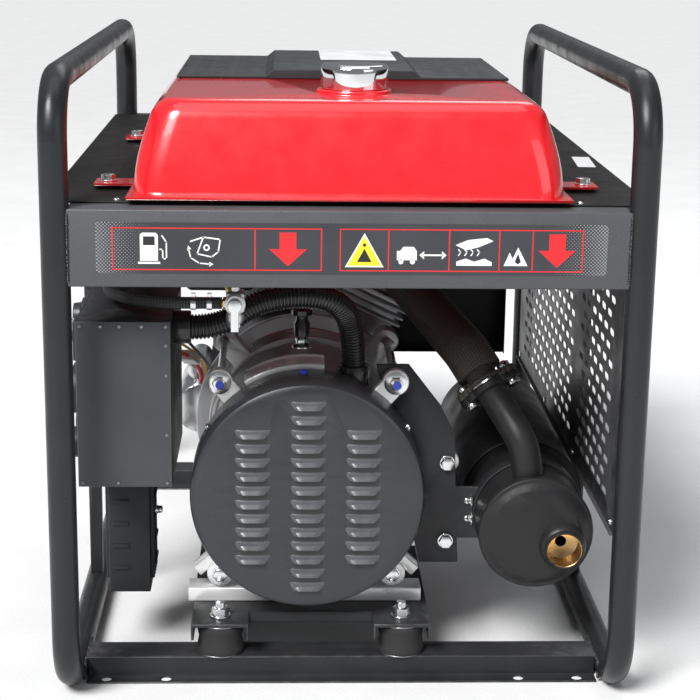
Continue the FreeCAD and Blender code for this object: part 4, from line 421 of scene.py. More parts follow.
class Form:
    """A mesh that bmesh operators shape, in metres, before it becomes a piece."""

    def __init__(self) -> None:
        """Start with nothing."""
        self.bm = bmesh.new()

    def place(self, verts: list, matrix: Matrix) -> list:
        """Move verts by matrix and return them."""
        bmesh.ops.transform(self.bm, matrix=matrix, verts=verts)
        return verts

    def box(self, low: Point, high: Point, matrix: Matrix | None = None) -> list:
        """Add a box between two corners and return its verts."""
        low, high = Vector(low), Vector(high)
        size = Matrix.Diagonal((*(high - low), 1.0))
        verts = bmesh.ops.create_cube(self.bm, size=1.0)["verts"]
        self.place(verts, (matrix or Matrix()) @ Matrix.Translation((low + high) / 2) @ size)
        return verts

    def rod(self, start: Point, end: Point, radius: float, far: float | None = None, steps: int = 32,
            roll: float = 0.0) -> list:
        """Add a closed rod or cone between two points and return its verts.

        Args:
            start: The middle of its first end.
            end: The middle of its last end.
            radius: Its radius at the start.
            far: Its radius at the end, if it tapers.
            steps: How many sides it has.
            roll: A turn about its length, in radians.
        """
        start, end = Vector(start), Vector(end)
        made = bmesh.ops.create_cone(self.bm, cap_ends=True, segments=steps, radius1=radius,
                                     radius2=radius if far is None else far, depth=(end - start).length)
        return self.place(made["verts"], aim((start + end) / 2, end - start, roll))

    def turn(self, outline: Sequence[tuple[float, float]], origin: Point, way: Point, steps: int = 64,
             closed: bool = False) -> list:
        """Spin an outline of (radius, height) about an axis and return the new verts.

        Args:
            outline: The points, from the first end to the last.
            origin: Where height 0 lies on the axis.
            way: The direction of the axis.
            steps: How many steps a full turn has.
            closed: Whether the outline joins up with its first point.
        """
        verts = [self.bm.verts.new((radius, 0.0, height)) for radius, height in outline]
        pairs = list(zip(verts, verts[1:])) + ([(verts[-1], verts[0])] if closed else [])
        edges = [self.bm.edges.new(pair) for pair in pairs]
        before = set(self.bm.verts) - set(verts)
        bmesh.ops.spin(self.bm, geom=verts + edges, cent=(0, 0, 0), axis=(0, 0, 1), dvec=(0, 0, 0),
                       angle=FULL_TURN, steps=steps, use_merge=True, use_duplicate=False)
        made = [v for v in self.bm.verts if v not in before]
        bmesh.ops.remove_doubles(self.bm, verts=made, dist=MERGE)
        made = [v for v in self.bm.verts if v not in before]
        faces = list({f for v in made for f in v.link_faces})
        bmesh.ops.recalc_face_normals(self.bm, faces=faces)
        return self.place(made, aim(origin, way))

    def plate(self, outline: Sequence[tuple[float, float]], thick: float, matrix: Matrix) -> list:
        """Add a flat plate, drawn in its own XY, thick along its own Z, and return its verts."""
        verts = [self.bm.verts.new((x, y, 0.0)) for x, y in outline]
        edges = [self.bm.edges.new(pair) for pair in zip(verts, verts[1:] + verts[:1])]
        face = bmesh.ops.contextual_create(self.bm, geom=verts + edges)["faces"]
        if not face:
            face = [self.bm.faces.new(verts)]
        grown = bmesh.ops.extrude_face_region(self.bm, geom=face, use_keep_orig=True)["geom"]
        top = [g for g in grown if isinstance(g, bmesh.types.BMVert)]
        bmesh.ops.translate(self.bm, verts=top, vec=(0, 0, thick))
        made = verts + top
        bmesh.ops.recalc_face_normals(self.bm, faces=list({f for v in made for f in v.link_faces}))
        return self.place(made, matrix)

    def soften(self, width: float, segments: int = 2, angle: float = 30.0, verts: list | None = None,
               keep_in: bool = True) -> None:
        """Bevel the edges that are sharper than an angle.

        Args:
            width: The bevel's width.
            segments: How many faces cross it.
            angle: The smallest angle that is bevelled, in degrees.
            verts: Only edges between these, if given.
            keep_in: Whether narrow faces limit the width.
        """
        among = set(verts) if verts is not None else None
        least = math.radians(angle)
        edges = [e for e in self.bm.edges if e.is_manifold and e.calc_face_angle(0) > least
                 and (among is None or (e.verts[0] in among and e.verts[1] in among))]
        bmesh.ops.bevel(self.bm, geom=edges, offset=width, offset_type="OFFSET", segments=segments,
                        profile=0.5, affect="EDGES", clamp_overlap=keep_in, material=-1)

    def copy_node(self, name: str) -> None:
        """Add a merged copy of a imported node's mesh, with its flat faces joined."""
        before = set(self.bm.verts)
        self.bm.from_mesh(frame["nodes"][name].data)
        verts = [v for v in self.bm.verts if v not in before]
        bmesh.ops.remove_doubles(self.bm, verts=verts, dist=MERGE)
        verts = [v for v in self.bm.verts if v not in before]
        edges = list({e for v in verts for e in v.link_edges})
        bmesh.ops.dissolve_limit(self.bm, angle_limit=math.radians(FLAT_ANGLE), verts=verts, edges=edges)

    def hexagon(self, at: Point, way: Point, flats: float, height: float, roll: float = 0.0) -> list:
        """Add a hexagonal head or nut that stands on a point and return its verts."""
        way = Vector(way).normalized()
        end = Vector(at) + way * height
        return self.rod(at, end, flats / math.sqrt(3), steps=6, roll=roll)

    def bolt(self, at: Point, way: Point, flats: float, washer: float, stud: float = 0.0,
             roll: float = 0.3) -> None:
        """Add a bolt head or nut on its washers.

        Args:
            at: Where the washer meets the surface.
            way: The direction that the head faces.
            flats: The size across flats.
            washer: The washer's radius, or 0 for none.
            stud: How far a threaded end stands above a nut.
            roll: The hexagon's turn.
        """
        way = Vector(way).normalized()
        at = Vector(at)
        if washer:
            self.turn([(flats * 0.3, 0), (washer, 0), (washer, 0.0012), (washer - 0.0004, 0.0016),
                       (flats * 0.3, 0.0016)], at, way, 32, closed=True)
            self.turn([(flats * 0.3, 0.0016), (flats * 0.56, 0.0016), (flats * 0.56, 0.0030),
                       (flats * 0.3, 0.0030)], at, way, 24, closed=True)
            at = at + way * 0.0030
        head = self.hexagon(at, way, flats, flats * 0.55, roll)
        self.soften(flats * 0.06, 1, 50, head)
        if stud:
            tip = at + way * flats * 0.55
            self.rod(tip - way * 0.001, tip + way * stud, flats * 0.28, steps=20)
            turns = max(2, int(stud / 0.0012))
            for ring in range(turns):
                spot = tip + way * (stud * (ring + 0.5) / turns)
                self.turn([(flats * 0.27, -0.0004), (flats * 0.31, 0), (flats * 0.27, 0.0004)],
                          spot, way, 20, closed=True)
        else:
            top = at + way * flats * 0.55
            self.turn([(0, 0), (flats * 0.34, 0), (flats * 0.31, 0.0005), (0, 0.0007)], top, way, 24)

    def screw(self, at: Point, way: Point, radius: float, roll: float = 0.4) -> None:
        """Add a domed screw head with a cross recess, standing on a point."""
        way = Vector(way).normalized()
        self.turn([(0, 0), (radius, 0), (radius, radius * 0.18), (radius * 0.82, radius * 0.48),
                   (radius * 0.45, radius * 0.62), (0, radius * 0.64)], at, way, 20)
        top = Vector(at) + way * radius * 0.60
        for turn in (0.0, math.pi / 2):
            spot = aim(top, way, roll + turn)
            arm = radius * 0.5
            self.box((-arm, -radius * 0.11, -radius * 0.05), (arm, radius * 0.11, radius * 0.06), spot)

    def bead(self, start: Point, end: Point, radius: float, ripple: float = 0.3, seed: int = 1) -> None:
        """Lay a weld bead of overlapping ripples along one straight run.

        Args:
            start: Where the bead begins.
            end: Where it ends.
            radius: The bead's half width.
            ripple: How uneven the ripples are.
            seed: The seed of that unevenness.
        """
        chance = random.Random(seed)
        start, end = Vector(start), Vector(end)
        run = (end - start).length
        count = max(3, int(run / (radius * 0.8)))
        outline = [(0.0, 0.0)]
        for drop in range(count):
            size = radius * (1 + ripple * (chance.random() - 0.5))
            outline += [(size * 0.80, run * (drop + 0.1) / count), (size, run * (drop + 0.6) / count)]
        self.turn(outline + [(0.0, run)], start, end - start, 10)

    def bend(self, route: "Route") -> None:
        """Lay a shape that was built straight up its own Z along a route."""
        for vert in self.bm.verts:
            vert.co = route.carry(vert.co)

    def piece(self, name: str, finish: Finish, body: Body = Body.FRAME, slot: str = "",
              stands_for: Sequence[str] = (), smooth: float = 35.0,
              uv: Callable[[Vector], tuple[float, float]] | None = None) -> bpy.types.Object:
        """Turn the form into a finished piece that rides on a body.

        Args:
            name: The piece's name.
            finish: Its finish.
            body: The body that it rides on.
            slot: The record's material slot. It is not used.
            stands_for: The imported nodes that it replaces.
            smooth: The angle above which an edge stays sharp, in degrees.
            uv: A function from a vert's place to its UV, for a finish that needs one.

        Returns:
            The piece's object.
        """
        mesh = bpy.data.meshes.new(name)
        if uv is not None:
            layer = self.bm.loops.layers.uv.new("UVMap")
            for face in self.bm.faces:
                flat = [uv(loop.vert.co) for loop in face.loops]
                high = max(pair[0] for pair in flat)
                for loop, (across, along) in zip(face.loops, flat):
                    wrapped = across + 1.0 if high - across > 0.5 else across
                    loop[layer].uv = (wrapped, along)
        self.bm.to_mesh(mesh)
        self.bm.free()
        return settle(name, mesh, finish, body, stands_for, smooth)


def settle(name: str, mesh: bpy.types.Mesh, finish: Finish, body: Body,
           stands_for: Sequence[str] = (), smooth: float = 35.0) -> bpy.types.Object:
    """Make a mesh an object of the scene, with its finish, on its body.

    Args:
        name: The piece's name.
        mesh: Its mesh, in the frame of the model.
        finish: Its finish.
        body: The body that it rides on.
        stands_for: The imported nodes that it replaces.
        smooth: The angle above which an edge stays sharp, in degrees.

    Returns:
        The piece's object.
    """
    mesh.polygons.foreach_set("use_smooth", [True] * len(mesh.polygons))
    mesh.set_sharp_from_angle(angle=math.radians(smooth))
    mesh.materials.append(finish.material())
    made = bpy.data.objects.new(name, mesh)
    bpy.context.scene.collection.objects.link(made)
    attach(made, body.value)
    if stands_for:
        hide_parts(*stands_for)
    LOG.info("%s: %d faces on %s", name, len(mesh.polygons), body.value)
    return made


def refined(node: str, finish: Finish, width: float = 0.6 * MM, body: Body = Body.FRAME, segments: int = 2,
            smooth: float = 35.0) -> bpy.types.Object:
    """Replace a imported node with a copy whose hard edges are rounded.

    Args:
        node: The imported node.
        finish: The piece's finish.
        width: The bevel's width.
        body: The body that it rides on.
        segments: How many faces cross each bevel.
        smooth: The angle above which an edge stays sharp, in degrees.

    Returns:
        The piece's object.
    """
    form = Form()
    form.copy_node(node)
    form.soften(width, segments, SHARP_ANGLE, keep_in=False)
    return form.piece(f"{node}_dressed", finish, body, SLOTS[node], [node], smooth)


def dress(node: str, finish: Finish) -> None:
    """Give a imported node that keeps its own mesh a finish."""
    for spot in frame["nodes"][node].material_slots:
        spot.material = finish.material()
    LOG.info("%s: packed mesh kept", node)


class Route:
    """A smooth line through space, read from one NURBS spline."""

    def __init__(self, points: Sequence[Point], detail: int = 24) -> None:
        """Make the line.

        Args:
            points: The spline's control points, in millimetres.
            detail: How many steps it has between two of them.
        """
        curve = bpy.data.curves.new("route", "CURVE")
        curve.dimensions = "3D"
        curve.resolution_u = detail
        spline = curve.splines.new("NURBS")
        spline.points.add(len(points) - 1)
        for spot, point in zip(spline.points, points):
            spot.co = (*(c * MM for c in point), 1.0)
        spline.order_u = 3
        spline.use_endpoint_u = True
        holder = bpy.data.objects.new("route", curve)
        bpy.context.scene.collection.objects.link(holder)
        line = bpy.data.meshes.new_from_object(holder)
        self.points = [v.co.copy() for v in line.vertices]
        bpy.data.meshes.remove(line)
        bpy.data.objects.remove(holder)
        bpy.data.curves.remove(curve)
        self.runs = [0.0]
        for first, second in zip(self.points, self.points[1:]):
            self.runs.append(self.runs[-1] + (second - first).length)
        self.sides = self._sides()

    def _sides(self) -> list[tuple[Vector, Vector, Vector]]:
        """Return the along, side and up directions at each point, without twist."""
        ways = []
        for index in range(len(self.points)):
            before, after = max(0, index - 1), min(len(self.points) - 1, index + 1)
            ways.append((self.points[after] - self.points[before]).normalized())
        side = ways[0].orthogonal().normalized()
        made = []
        for way in ways:
            side = (side - way * side.dot(way)).normalized()
            made.append((way, side, way.cross(side)))
        return made

    @property
    def length(self) -> float:
        """The line's length."""
        return self.runs[-1]

    def carry(self, spot: Vector) -> Vector:
        """Return where a point beside a straight Z axis goes beside this line."""
        run = min(max(spot.z, 0.0), self.length)
        low, high = 0, len(self.runs) - 2
        while low < high:
            middle = (low + high + 1) // 2
            if self.runs[middle] <= run:
                low = middle
            else:
                high = middle - 1
        index = low
        span = self.runs[index + 1] - self.runs[index]
        share = (run - self.runs[index]) / span if span > 0 else 0.0
        first, second = self.sides[index], self.sides[index + 1]
        way = first[0].lerp(second[0], share).normalized()
        side = first[1].lerp(second[1], share)
        side = (side - way * side.dot(way)).normalized()
        up = way.cross(side)
        base = self.points[index].lerp(self.points[index + 1], share)
        return base + side * spot.x + up * spot.y + way * (spot.z - run)


def wire(name: str, points: Sequence[Point], radius: float, finish: Finish, slot: str = "moulded_black",
         body: Body = Body.FRAME) -> bpy.types.Object:
    """Run a short insulated wire or thin rod through points in millimetres.

    Args:
        name: The piece's name.
        points: The control points of its line.
        radius: Its radius.
        finish: Its finish.
        slot: The record's material slot, passed on to the piece, which does not use it.
        body: The body that it rides on.

    Returns:
        The piece's object.
    """
    route = Route(points, 10)
    form = Form()
    steps = max(6, int(route.length / 0.004))
    outline = [(0.0, 0.0)] + [(radius, route.length * step / steps) for step in range(steps + 1)]
    form.turn(outline + [(0.0, route.length)], (0, 0, 0), (0, 0, 1), 12)
    form.bend(route)
    return form.piece(name, finish, body, slot)


SLOTS = {row["node"]: row["material_slot"] for row in frame["record"]["subparts"]}

TUBE_COAT = Coated("tube_coat", (0.010, 0.011, 0.0125), (0.018, 0.019, 0.021),
                   0.30, 1500, 0.00005, 0.04, 0.20, gloss=0.38)
BEAM_COAT = Coated("beam_coat", (0.058, 0.061, 0.068), (0.066, 0.069, 0.076), 0.48, 850, 0.00020, 0.03, 0.0)
TRAY_COAT = Coated("tray_coat", (0.006, 0.006, 0.006), (0.010, 0.010, 0.010),
                   0.50, 1100, 0.00010, 0.02, 0.10, gloss=0.12)
BOX_COAT = Coated("box_coat", (0.035, 0.037, 0.042), (0.048, 0.052, 0.058), 0.46, 800, 0.00020, 0.05, 0.10)
SHEET_COAT = Coated("sheet_coat", (0.012, 0.013, 0.0145), (0.020, 0.021, 0.0235),
                    0.42, 900, 0.00012, 0.04, 0.20, gloss=0.40)
COVER_COAT = Coated("cover_coat", (0.019, 0.0205, 0.023), (0.026, 0.028, 0.032),
                    0.30, 1000, 0.00006, 0.03, 0.0)
# A lighter copy of the cover's coat for the pressed hoods: painted sheen where their tilted faces catch the
# light.
LOUVRE_SHEEN_COAT = Coated("louvre_painted_sheen", (0.060, 0.063, 0.070), (0.074, 0.078, 0.086), 0.26, 1000, 0.00005,
                     0.02, 0.0)
HEAT_COAT = Coated("heat_coat", (0.012, 0.012, 0.013), (0.017, 0.017, 0.018),
                   0.40, 1300, 0.00008, 0.03, 0.0, gloss=0.30)
TANK_RED = Gloss("tank_enamel", (0.78, 0.012, 0.020), (0.70, 0.009, 0.015))
# A darker copy of the tank's red for the lower shell: painted shade on the pan below the seam.
PAN_SHADED_RED = Gloss("pan_enamel_painted_shade", (0.30, 0.006, 0.010), (0.20, 0.004, 0.006), 0.6)
CAST = Metal("cast_alloy", (0.76, 0.76, 0.75), (0.52, 0.51, 0.49), 0.44, 0.22, 900, 0.00016)
BELL_CAST = Metal("bell_alloy", (0.88, 0.88, 0.88), (0.68, 0.68, 0.67), 0.24, 0.35, 1100, 0.00005)
ZINC = Metal("zinc_plate", (0.82, 0.84, 0.86), (0.70, 0.68, 0.60), 0.22, 1.0, 1500, 0.00003)
CHROME = Metal("chrome_plate", (0.93, 0.94, 0.95), (0.80, 0.81, 0.83), 0.06, 1.0, 2000, 0.000004)
STEEL = Metal("dark_steel", (0.30, 0.30, 0.31), (0.18, 0.15, 0.13), 0.38, 1.0, 900, 0.00006)
IRON = Metal("cast_iron", (0.16, 0.16, 0.17), (0.22, 0.13, 0.09), 0.62, 0.8, 700, 0.00030)
BRASS = Metal("brass", (0.78, 0.56, 0.22), (0.45, 0.28, 0.10), 0.26, 1.0, 1500, 0.00003)
HEATED = Metal("heated_steel", (0.62, 0.43, 0.20), (0.20, 0.12, 0.08), 0.34, 1.0, 900, 0.00010, (1, 1, 1),
               0.9)
LAMINATION = Layered("lamination", (0.34, 0.34, 0.35), (0.07, 0.06, 0.06), 900.0)
WINDING = Layered("winding", (0.45, 0.16, 0.05), (0.10, 0.03, 0.012), 700.0, 2, 0.4, 0.3)
PLASTIC = Coated("black_plastic", (0.014, 0.015, 0.016), (0.024, 0.025, 0.027), 0.38, 1600, 0.00010, 0.08,
                 0.0)
PLASTIC_GREY = Coated("grey_plastic", (0.019, 0.021, 0.023), (0.028, 0.031, 0.034),
                      0.46, 1500, 0.00008, 0.03, 0.0, gloss=0.22)
GLOSSY_PLASTIC = Coated("glossy_plastic", (0.010, 0.010, 0.011), (0.018, 0.018, 0.020), 0.16, 1400,
                        0.00003, 0.05, 0.0)
RUBBER = Coated("mount_rubber", (0.016, 0.016, 0.017), (0.030, 0.029, 0.029), 0.62, 700, 0.00020, 0.16, 0.0)
HOSE = Woven("hose_braid", (0.050, 0.052, 0.056), (0.012, 0.012, 0.013), (0.10, 0.10, 0.11), 16, 90, 0.1,
             0.0006)
WRAP = Woven("heat_wrap", (0.080, 0.072, 0.062), (0.028, 0.024, 0.021),
             (0.70, 0.52, 0.30), 20, 70, 0.40, 0.0008)
LABEL = Coated("plain_label", (0.74, 0.75, 0.76), (0.82, 0.83, 0.84), 0.30, 900, 0.00002, 0.05, 0.0)
RED_INK = Coated("red_ink", (0.62, 0.012, 0.016), (0.70, 0.020, 0.022), 0.34, 1300, 0.00006, 0.04, 0.0)
WHITE_INK = Coated("white_ink", (0.78, 0.78, 0.78), (0.85, 0.85, 0.84), 0.36, 1300, 0.00006, 0.04, 0.0)
YELLOW_INK = Coated("yellow_ink", (0.80, 0.62, 0.02), (0.86, 0.68, 0.03), 0.36, 1300, 0.00006, 0.04, 0.0)
BLUE_PAINT = Coated("blue_mark", (0.03, 0.06, 0.50), (0.05, 0.10, 0.62), 0.40, 900, 0.0001, 0.0, 0.0)
RED_WIRE = Coated("red_wire", (0.55, 0.02, 0.02), (0.65, 0.03, 0.03), 0.35, 900, 0.00005, 0.05, 0.0)
YELLOW_WIRE = Coated("yellow_wire", (0.75, 0.45, 0.03), (0.80, 0.52, 0.05), 0.35, 900, 0.00005, 0.05, 0.0)
WHITE_PLASTIC = Coated("white_plastic", (0.72, 0.73, 0.72), (0.80, 0.81, 0.80), 0.38, 900, 0.00006, 0.10,
                       0.0)
FILM = Film("decal_film", (0.030, 0.031, 0.037), (0.42, 0.43, 0.45), 244 * MM)
FLOOR = Coated("pale_floor", (0.76, 0.76, 0.76), (0.80, 0.80, 0.80), 0.65, 300, 0.00005, 0.0, 0.0)


# --------------------------------------------------------------------------- sub-assemblies


@dataclass
class TubeFrame:
    """The two hoops, the posts, the guard panel and the lower rails, with their welds."""

    tube_inner_x: float = 268.6 * MM
    beam_face_y: float = 402.4 * MM
    beam_low: float = 437 * MM
    beam_high: float = 504 * MM
    bead: float = 2.0 * MM
    panel_x: float = 274 * MM
    panel_screws: tuple[float, ...] = (-350.0, -112.0, 112.0, 350.0)

    def build(self) -> None:
        """Make the frame's pieces."""
        dress("left_hoop", TUBE_COAT)
        dress("right_hoop", TUBE_COAT)
        refined("side_posts", SHEET_COAT, 0.8 * MM)
        refined("lower_rails", SHEET_COAT, 0.8 * MM)
        dress("guard_panel", SHEET_COAT)
        self.welds()
        self.screws()

    def welds(self) -> None:
        """Lay the beads that join beams and rails to the hoops."""
        form = Form()
        for side in (-1, 1):
            for end in (-1, 1):
                x, y = side * self.tube_inner_x, end * self.beam_face_y
                back, rail = end * 364.5 * MM, end * 350 * MM
                runs = [((x, y, self.beam_low), (x, y, self.beam_high)),
                        ((x, back, self.beam_low), (x, back, self.beam_high)),
                        ((x, rail, 4 * MM), (x, rail, 20 * MM)),
                        ((x, end * 279 * MM, 20.5 * MM), (x, rail, 20.5 * MM))]
                for number, (start, stop) in enumerate(runs):
                    form.bead(start, stop, self.bead, 0.3, 7 * number + 3 * side + end + 20)
        form.piece("frame_welds", TUBE_COAT, slot="frame_black")

    def screws(self) -> None:
        """Put the small screws that hold the guard panel to its flange and post."""
        form = Form()
        for y in self.panel_screws:
            for z in (178 * MM, 500 * MM):
                form.screw((self.panel_x, y * MM, z), Facing.RIGHT.value, 3.2 * MM)
                form.turn(outline_mm((0, 0), (4, 0), (3.6, 1.6), (0, 1.6)), (272.8 * MM, y * MM, z),
                          Facing.LEFT.value, 16)
        form.piece("guard_screws", ZINC, slot="zinc_steel")


@dataclass
class FrontBeam:
    """The upper beams and the printed film on the front one."""

    face: float = -403.0 * MM
    film_low: tuple[float, float] = (-242.0, 446.5)
    film_high: tuple[float, float] = (246.0, 496.0)
    film_thick: float = 0.22 * MM
    ink_thick: float = 0.07 * MM
    line: float = 1.15
    row_low: float = 450.5
    row_high: float = 490.5
    first_box: tuple[float, ...] = (-226.0, -91.0, -28.0)
    second_box: tuple[float, ...] = (-10.0, 36.0, 94.0, 142.0, 174.0, 222.0)

    def build(self) -> None:
        """Make the beams, the film and what is printed on it."""
        refined("upper_beams", BEAM_COAT, 1.6 * MM, segments=3)
        form = Form()
        form.plate(self.rounded(*self.film_low, *self.film_high, 3.0), self.film_thick, self.front(0.0))
        form.piece("decal_film", FILM, slot="moulded_black")
        self.red_print()
        self.white_print()
        self.yellow_print()
        self.black_print()

    def front(self, lift: float) -> Matrix:
        """Return the placement of a plate drawn on the film's face, in X and Z.

        Args:
            lift: How far in front of the beam its back lies.
        """
        turn = Matrix(((1, 0, 0), (0, 0, -1), (0, 1, 0))).to_4x4()
        return Matrix.Translation((0, self.face - lift, 0)) @ turn

    def rounded(self, x0: float, z0: float, x1: float, z1: float, radius: float) -> list[tuple[float, float]]:
        """Return a rounded rectangle's outline in metres, from sizes in millimetres."""
        outline = []
        for centre, start in (((x1 - radius, z1 - radius), 0), ((x0 + radius, z1 - radius), 90),
                              ((x0 + radius, z0 + radius), 180), ((x1 - radius, z0 + radius), 270)):
            for step in range(5):
                turn = math.radians(start + 22.5 * step)
                outline.append(((centre[0] + radius * math.cos(turn)) * MM,
                                (centre[1] + radius * math.sin(turn)) * MM))
        return outline

    def fill(self, form: Form, outline: Sequence[tuple[float, float]], layer: int = 0) -> None:
        """Print one filled shape, drawn in millimetres, on the film or on lower ink."""
        scaled = [(x * MM, z * MM) for x, z in outline]
        form.plate(scaled, self.ink_thick, self.front(self.film_thick + layer * self.ink_thick))

    def stroke(self, form: Form, points: Sequence[tuple[float, float]], width: float, layer: int = 0) -> None:
        """Print a line of straight runs, drawn in millimetres."""
        for (x0, z0), (x1, z1) in zip(points, points[1:]):
            run = math.hypot(x1 - x0, z1 - z0)
            sx, sz = (x1 - x0) / run * width / 2, (z1 - z0) / run * width / 2
            self.fill(form, [(x0 - sx - sz, z0 - sz + sx), (x0 - sx + sz, z0 - sz - sx),
                             (x1 + sx + sz, z1 + sz - sx), (x1 + sx - sz, z1 + sz + sx)], layer)

    def disc(self, form: Form, x: float, z: float, radius: float, layer: int = 0) -> None:
        """Print a filled disc, in millimetres."""
        self.fill(form, [(x + radius * math.cos(t * math.pi / 8), z + radius * math.sin(t * math.pi / 8))
                         for t in range(16)], layer)

    def arrow(self, form: Form, x: float) -> None:
        """Print a fat arrow that points down."""
        self.fill(form, [(x - 8, 487), (x + 8, 487), (x + 8, 471), (x + 18, 471), (x, 454.5), (x - 18, 471),
                         (x - 8, 471)])

    def red_print(self) -> None:
        """Print the boxes' red lines and the two arrows."""
        form = Form()
        for marks in (self.first_box, self.second_box):
            self.stroke(form, [(marks[0], self.row_low), (marks[-1], self.row_low)], self.line)
            self.stroke(form, [(marks[0], self.row_high), (marks[-1], self.row_high)], self.line)
            for x in marks:
                self.stroke(form, [(x, self.row_low + 1.2), (x, self.row_high - 1.2)], self.line)
        self.arrow(form, -59.8)
        self.arrow(form, 197.5)
        form.piece("decal_red", RED_INK, slot="tank_red")

    def white_print(self) -> None:
        """Print the pump, tap, machine, heat and peak signs."""
        form = Form()
        self.fill(form, [(-200, 459), (-183, 459), (-183, 484), (-185, 486), (-198, 486), (-200, 484)])
        self.fill(form, [(-202, 456), (-181, 456), (-181, 458), (-202, 458)])
        self.stroke(form, [(-181, 470), (-178.5, 470), (-178.5, 461), (-175, 461), (-175, 477), (-179, 483)],
                    1.3)
        self.stroke(form, [(-152, 478), (-140, 482), (-124, 480)], 1.4)
        self.stroke(form, [(-140, 482), (-146, 466), (-132, 463), (-126, 468), (-124, 480)], 1.3)
        self.stroke(form, [(-154, 470), (-152, 462), (-144, 457), (-134, 456)], 1.2)
        self.fill(form, [(-155.5, 469), (-151.5, 470.5), (-154.5, 474)])
        self.fill(form, [(-134.5, 453.6), (-134.5, 458.4), (-130.5, 456)])
        self.disc(form, -137, 472, 3.2)
        self.fill(form, [(44, 461), (63, 461), (63, 470), (60, 474), (50, 474), (47, 470), (44, 470)])
        self.disc(form, 48, 459.5, 2.4)
        self.disc(form, 59, 459.5, 2.4)
        self.stroke(form, [(71, 466), (87, 466)], 1.6)
        self.fill(form, [(70, 462), (70, 470), (65.5, 466)])
        self.fill(form, [(87, 462), (87, 470), (91.5, 466)])
        self.fill(form, [(100, 476), (112, 481), (130, 483), (136, 480), (122, 474), (110, 471)])
        for finger in (103, 109, 115, 121):
            self.stroke(form, [(finger, 466), (finger + 2, 469), (finger, 471.5)], 1.1)
        self.fill(form,
                  [(101, 456), (135, 456), (135, 459.5), (128, 463), (118, 460), (110, 463), (101, 460)])
        self.fill(form, [(146.5, 456), (152, 469), (155, 463), (160, 474), (169.5, 456)])
        self.fill(form, [(-5.5, 454), (31.5, 454), (13, 487)])
        form.piece("decal_white", WHITE_INK, slot="moulded_black")

    def yellow_print(self) -> None:
        """Print the yellow triangle."""
        form = Form()
        self.fill(form, [(-3.2, 455.4), (29.2, 455.4), (13, 484)], 1)
        form.piece("decal_yellow", YELLOW_INK, slot="moulded_black")

    def black_print(self) -> None:
        """Print the dark shapes on the triangle, the pump and the peaks."""
        form = Form()
        self.fill(form, [(6, 459), (20, 459), (13, 472)], 2)
        self.disc(form, 13, 475.5, 1.6, 2)
        self.fill(form, [(-197, 474), (-186, 474), (-186, 482.5), (-197, 482.5)], 1)
        self.fill(form, [(157, 460), (160, 468), (163, 460), (160, 457.5)], 1)
        self.disc(form, -137, 472, 1.6, 1)
        form.piece("decal_black", GLOSSY_PLASTIC, slot="moulded_black")


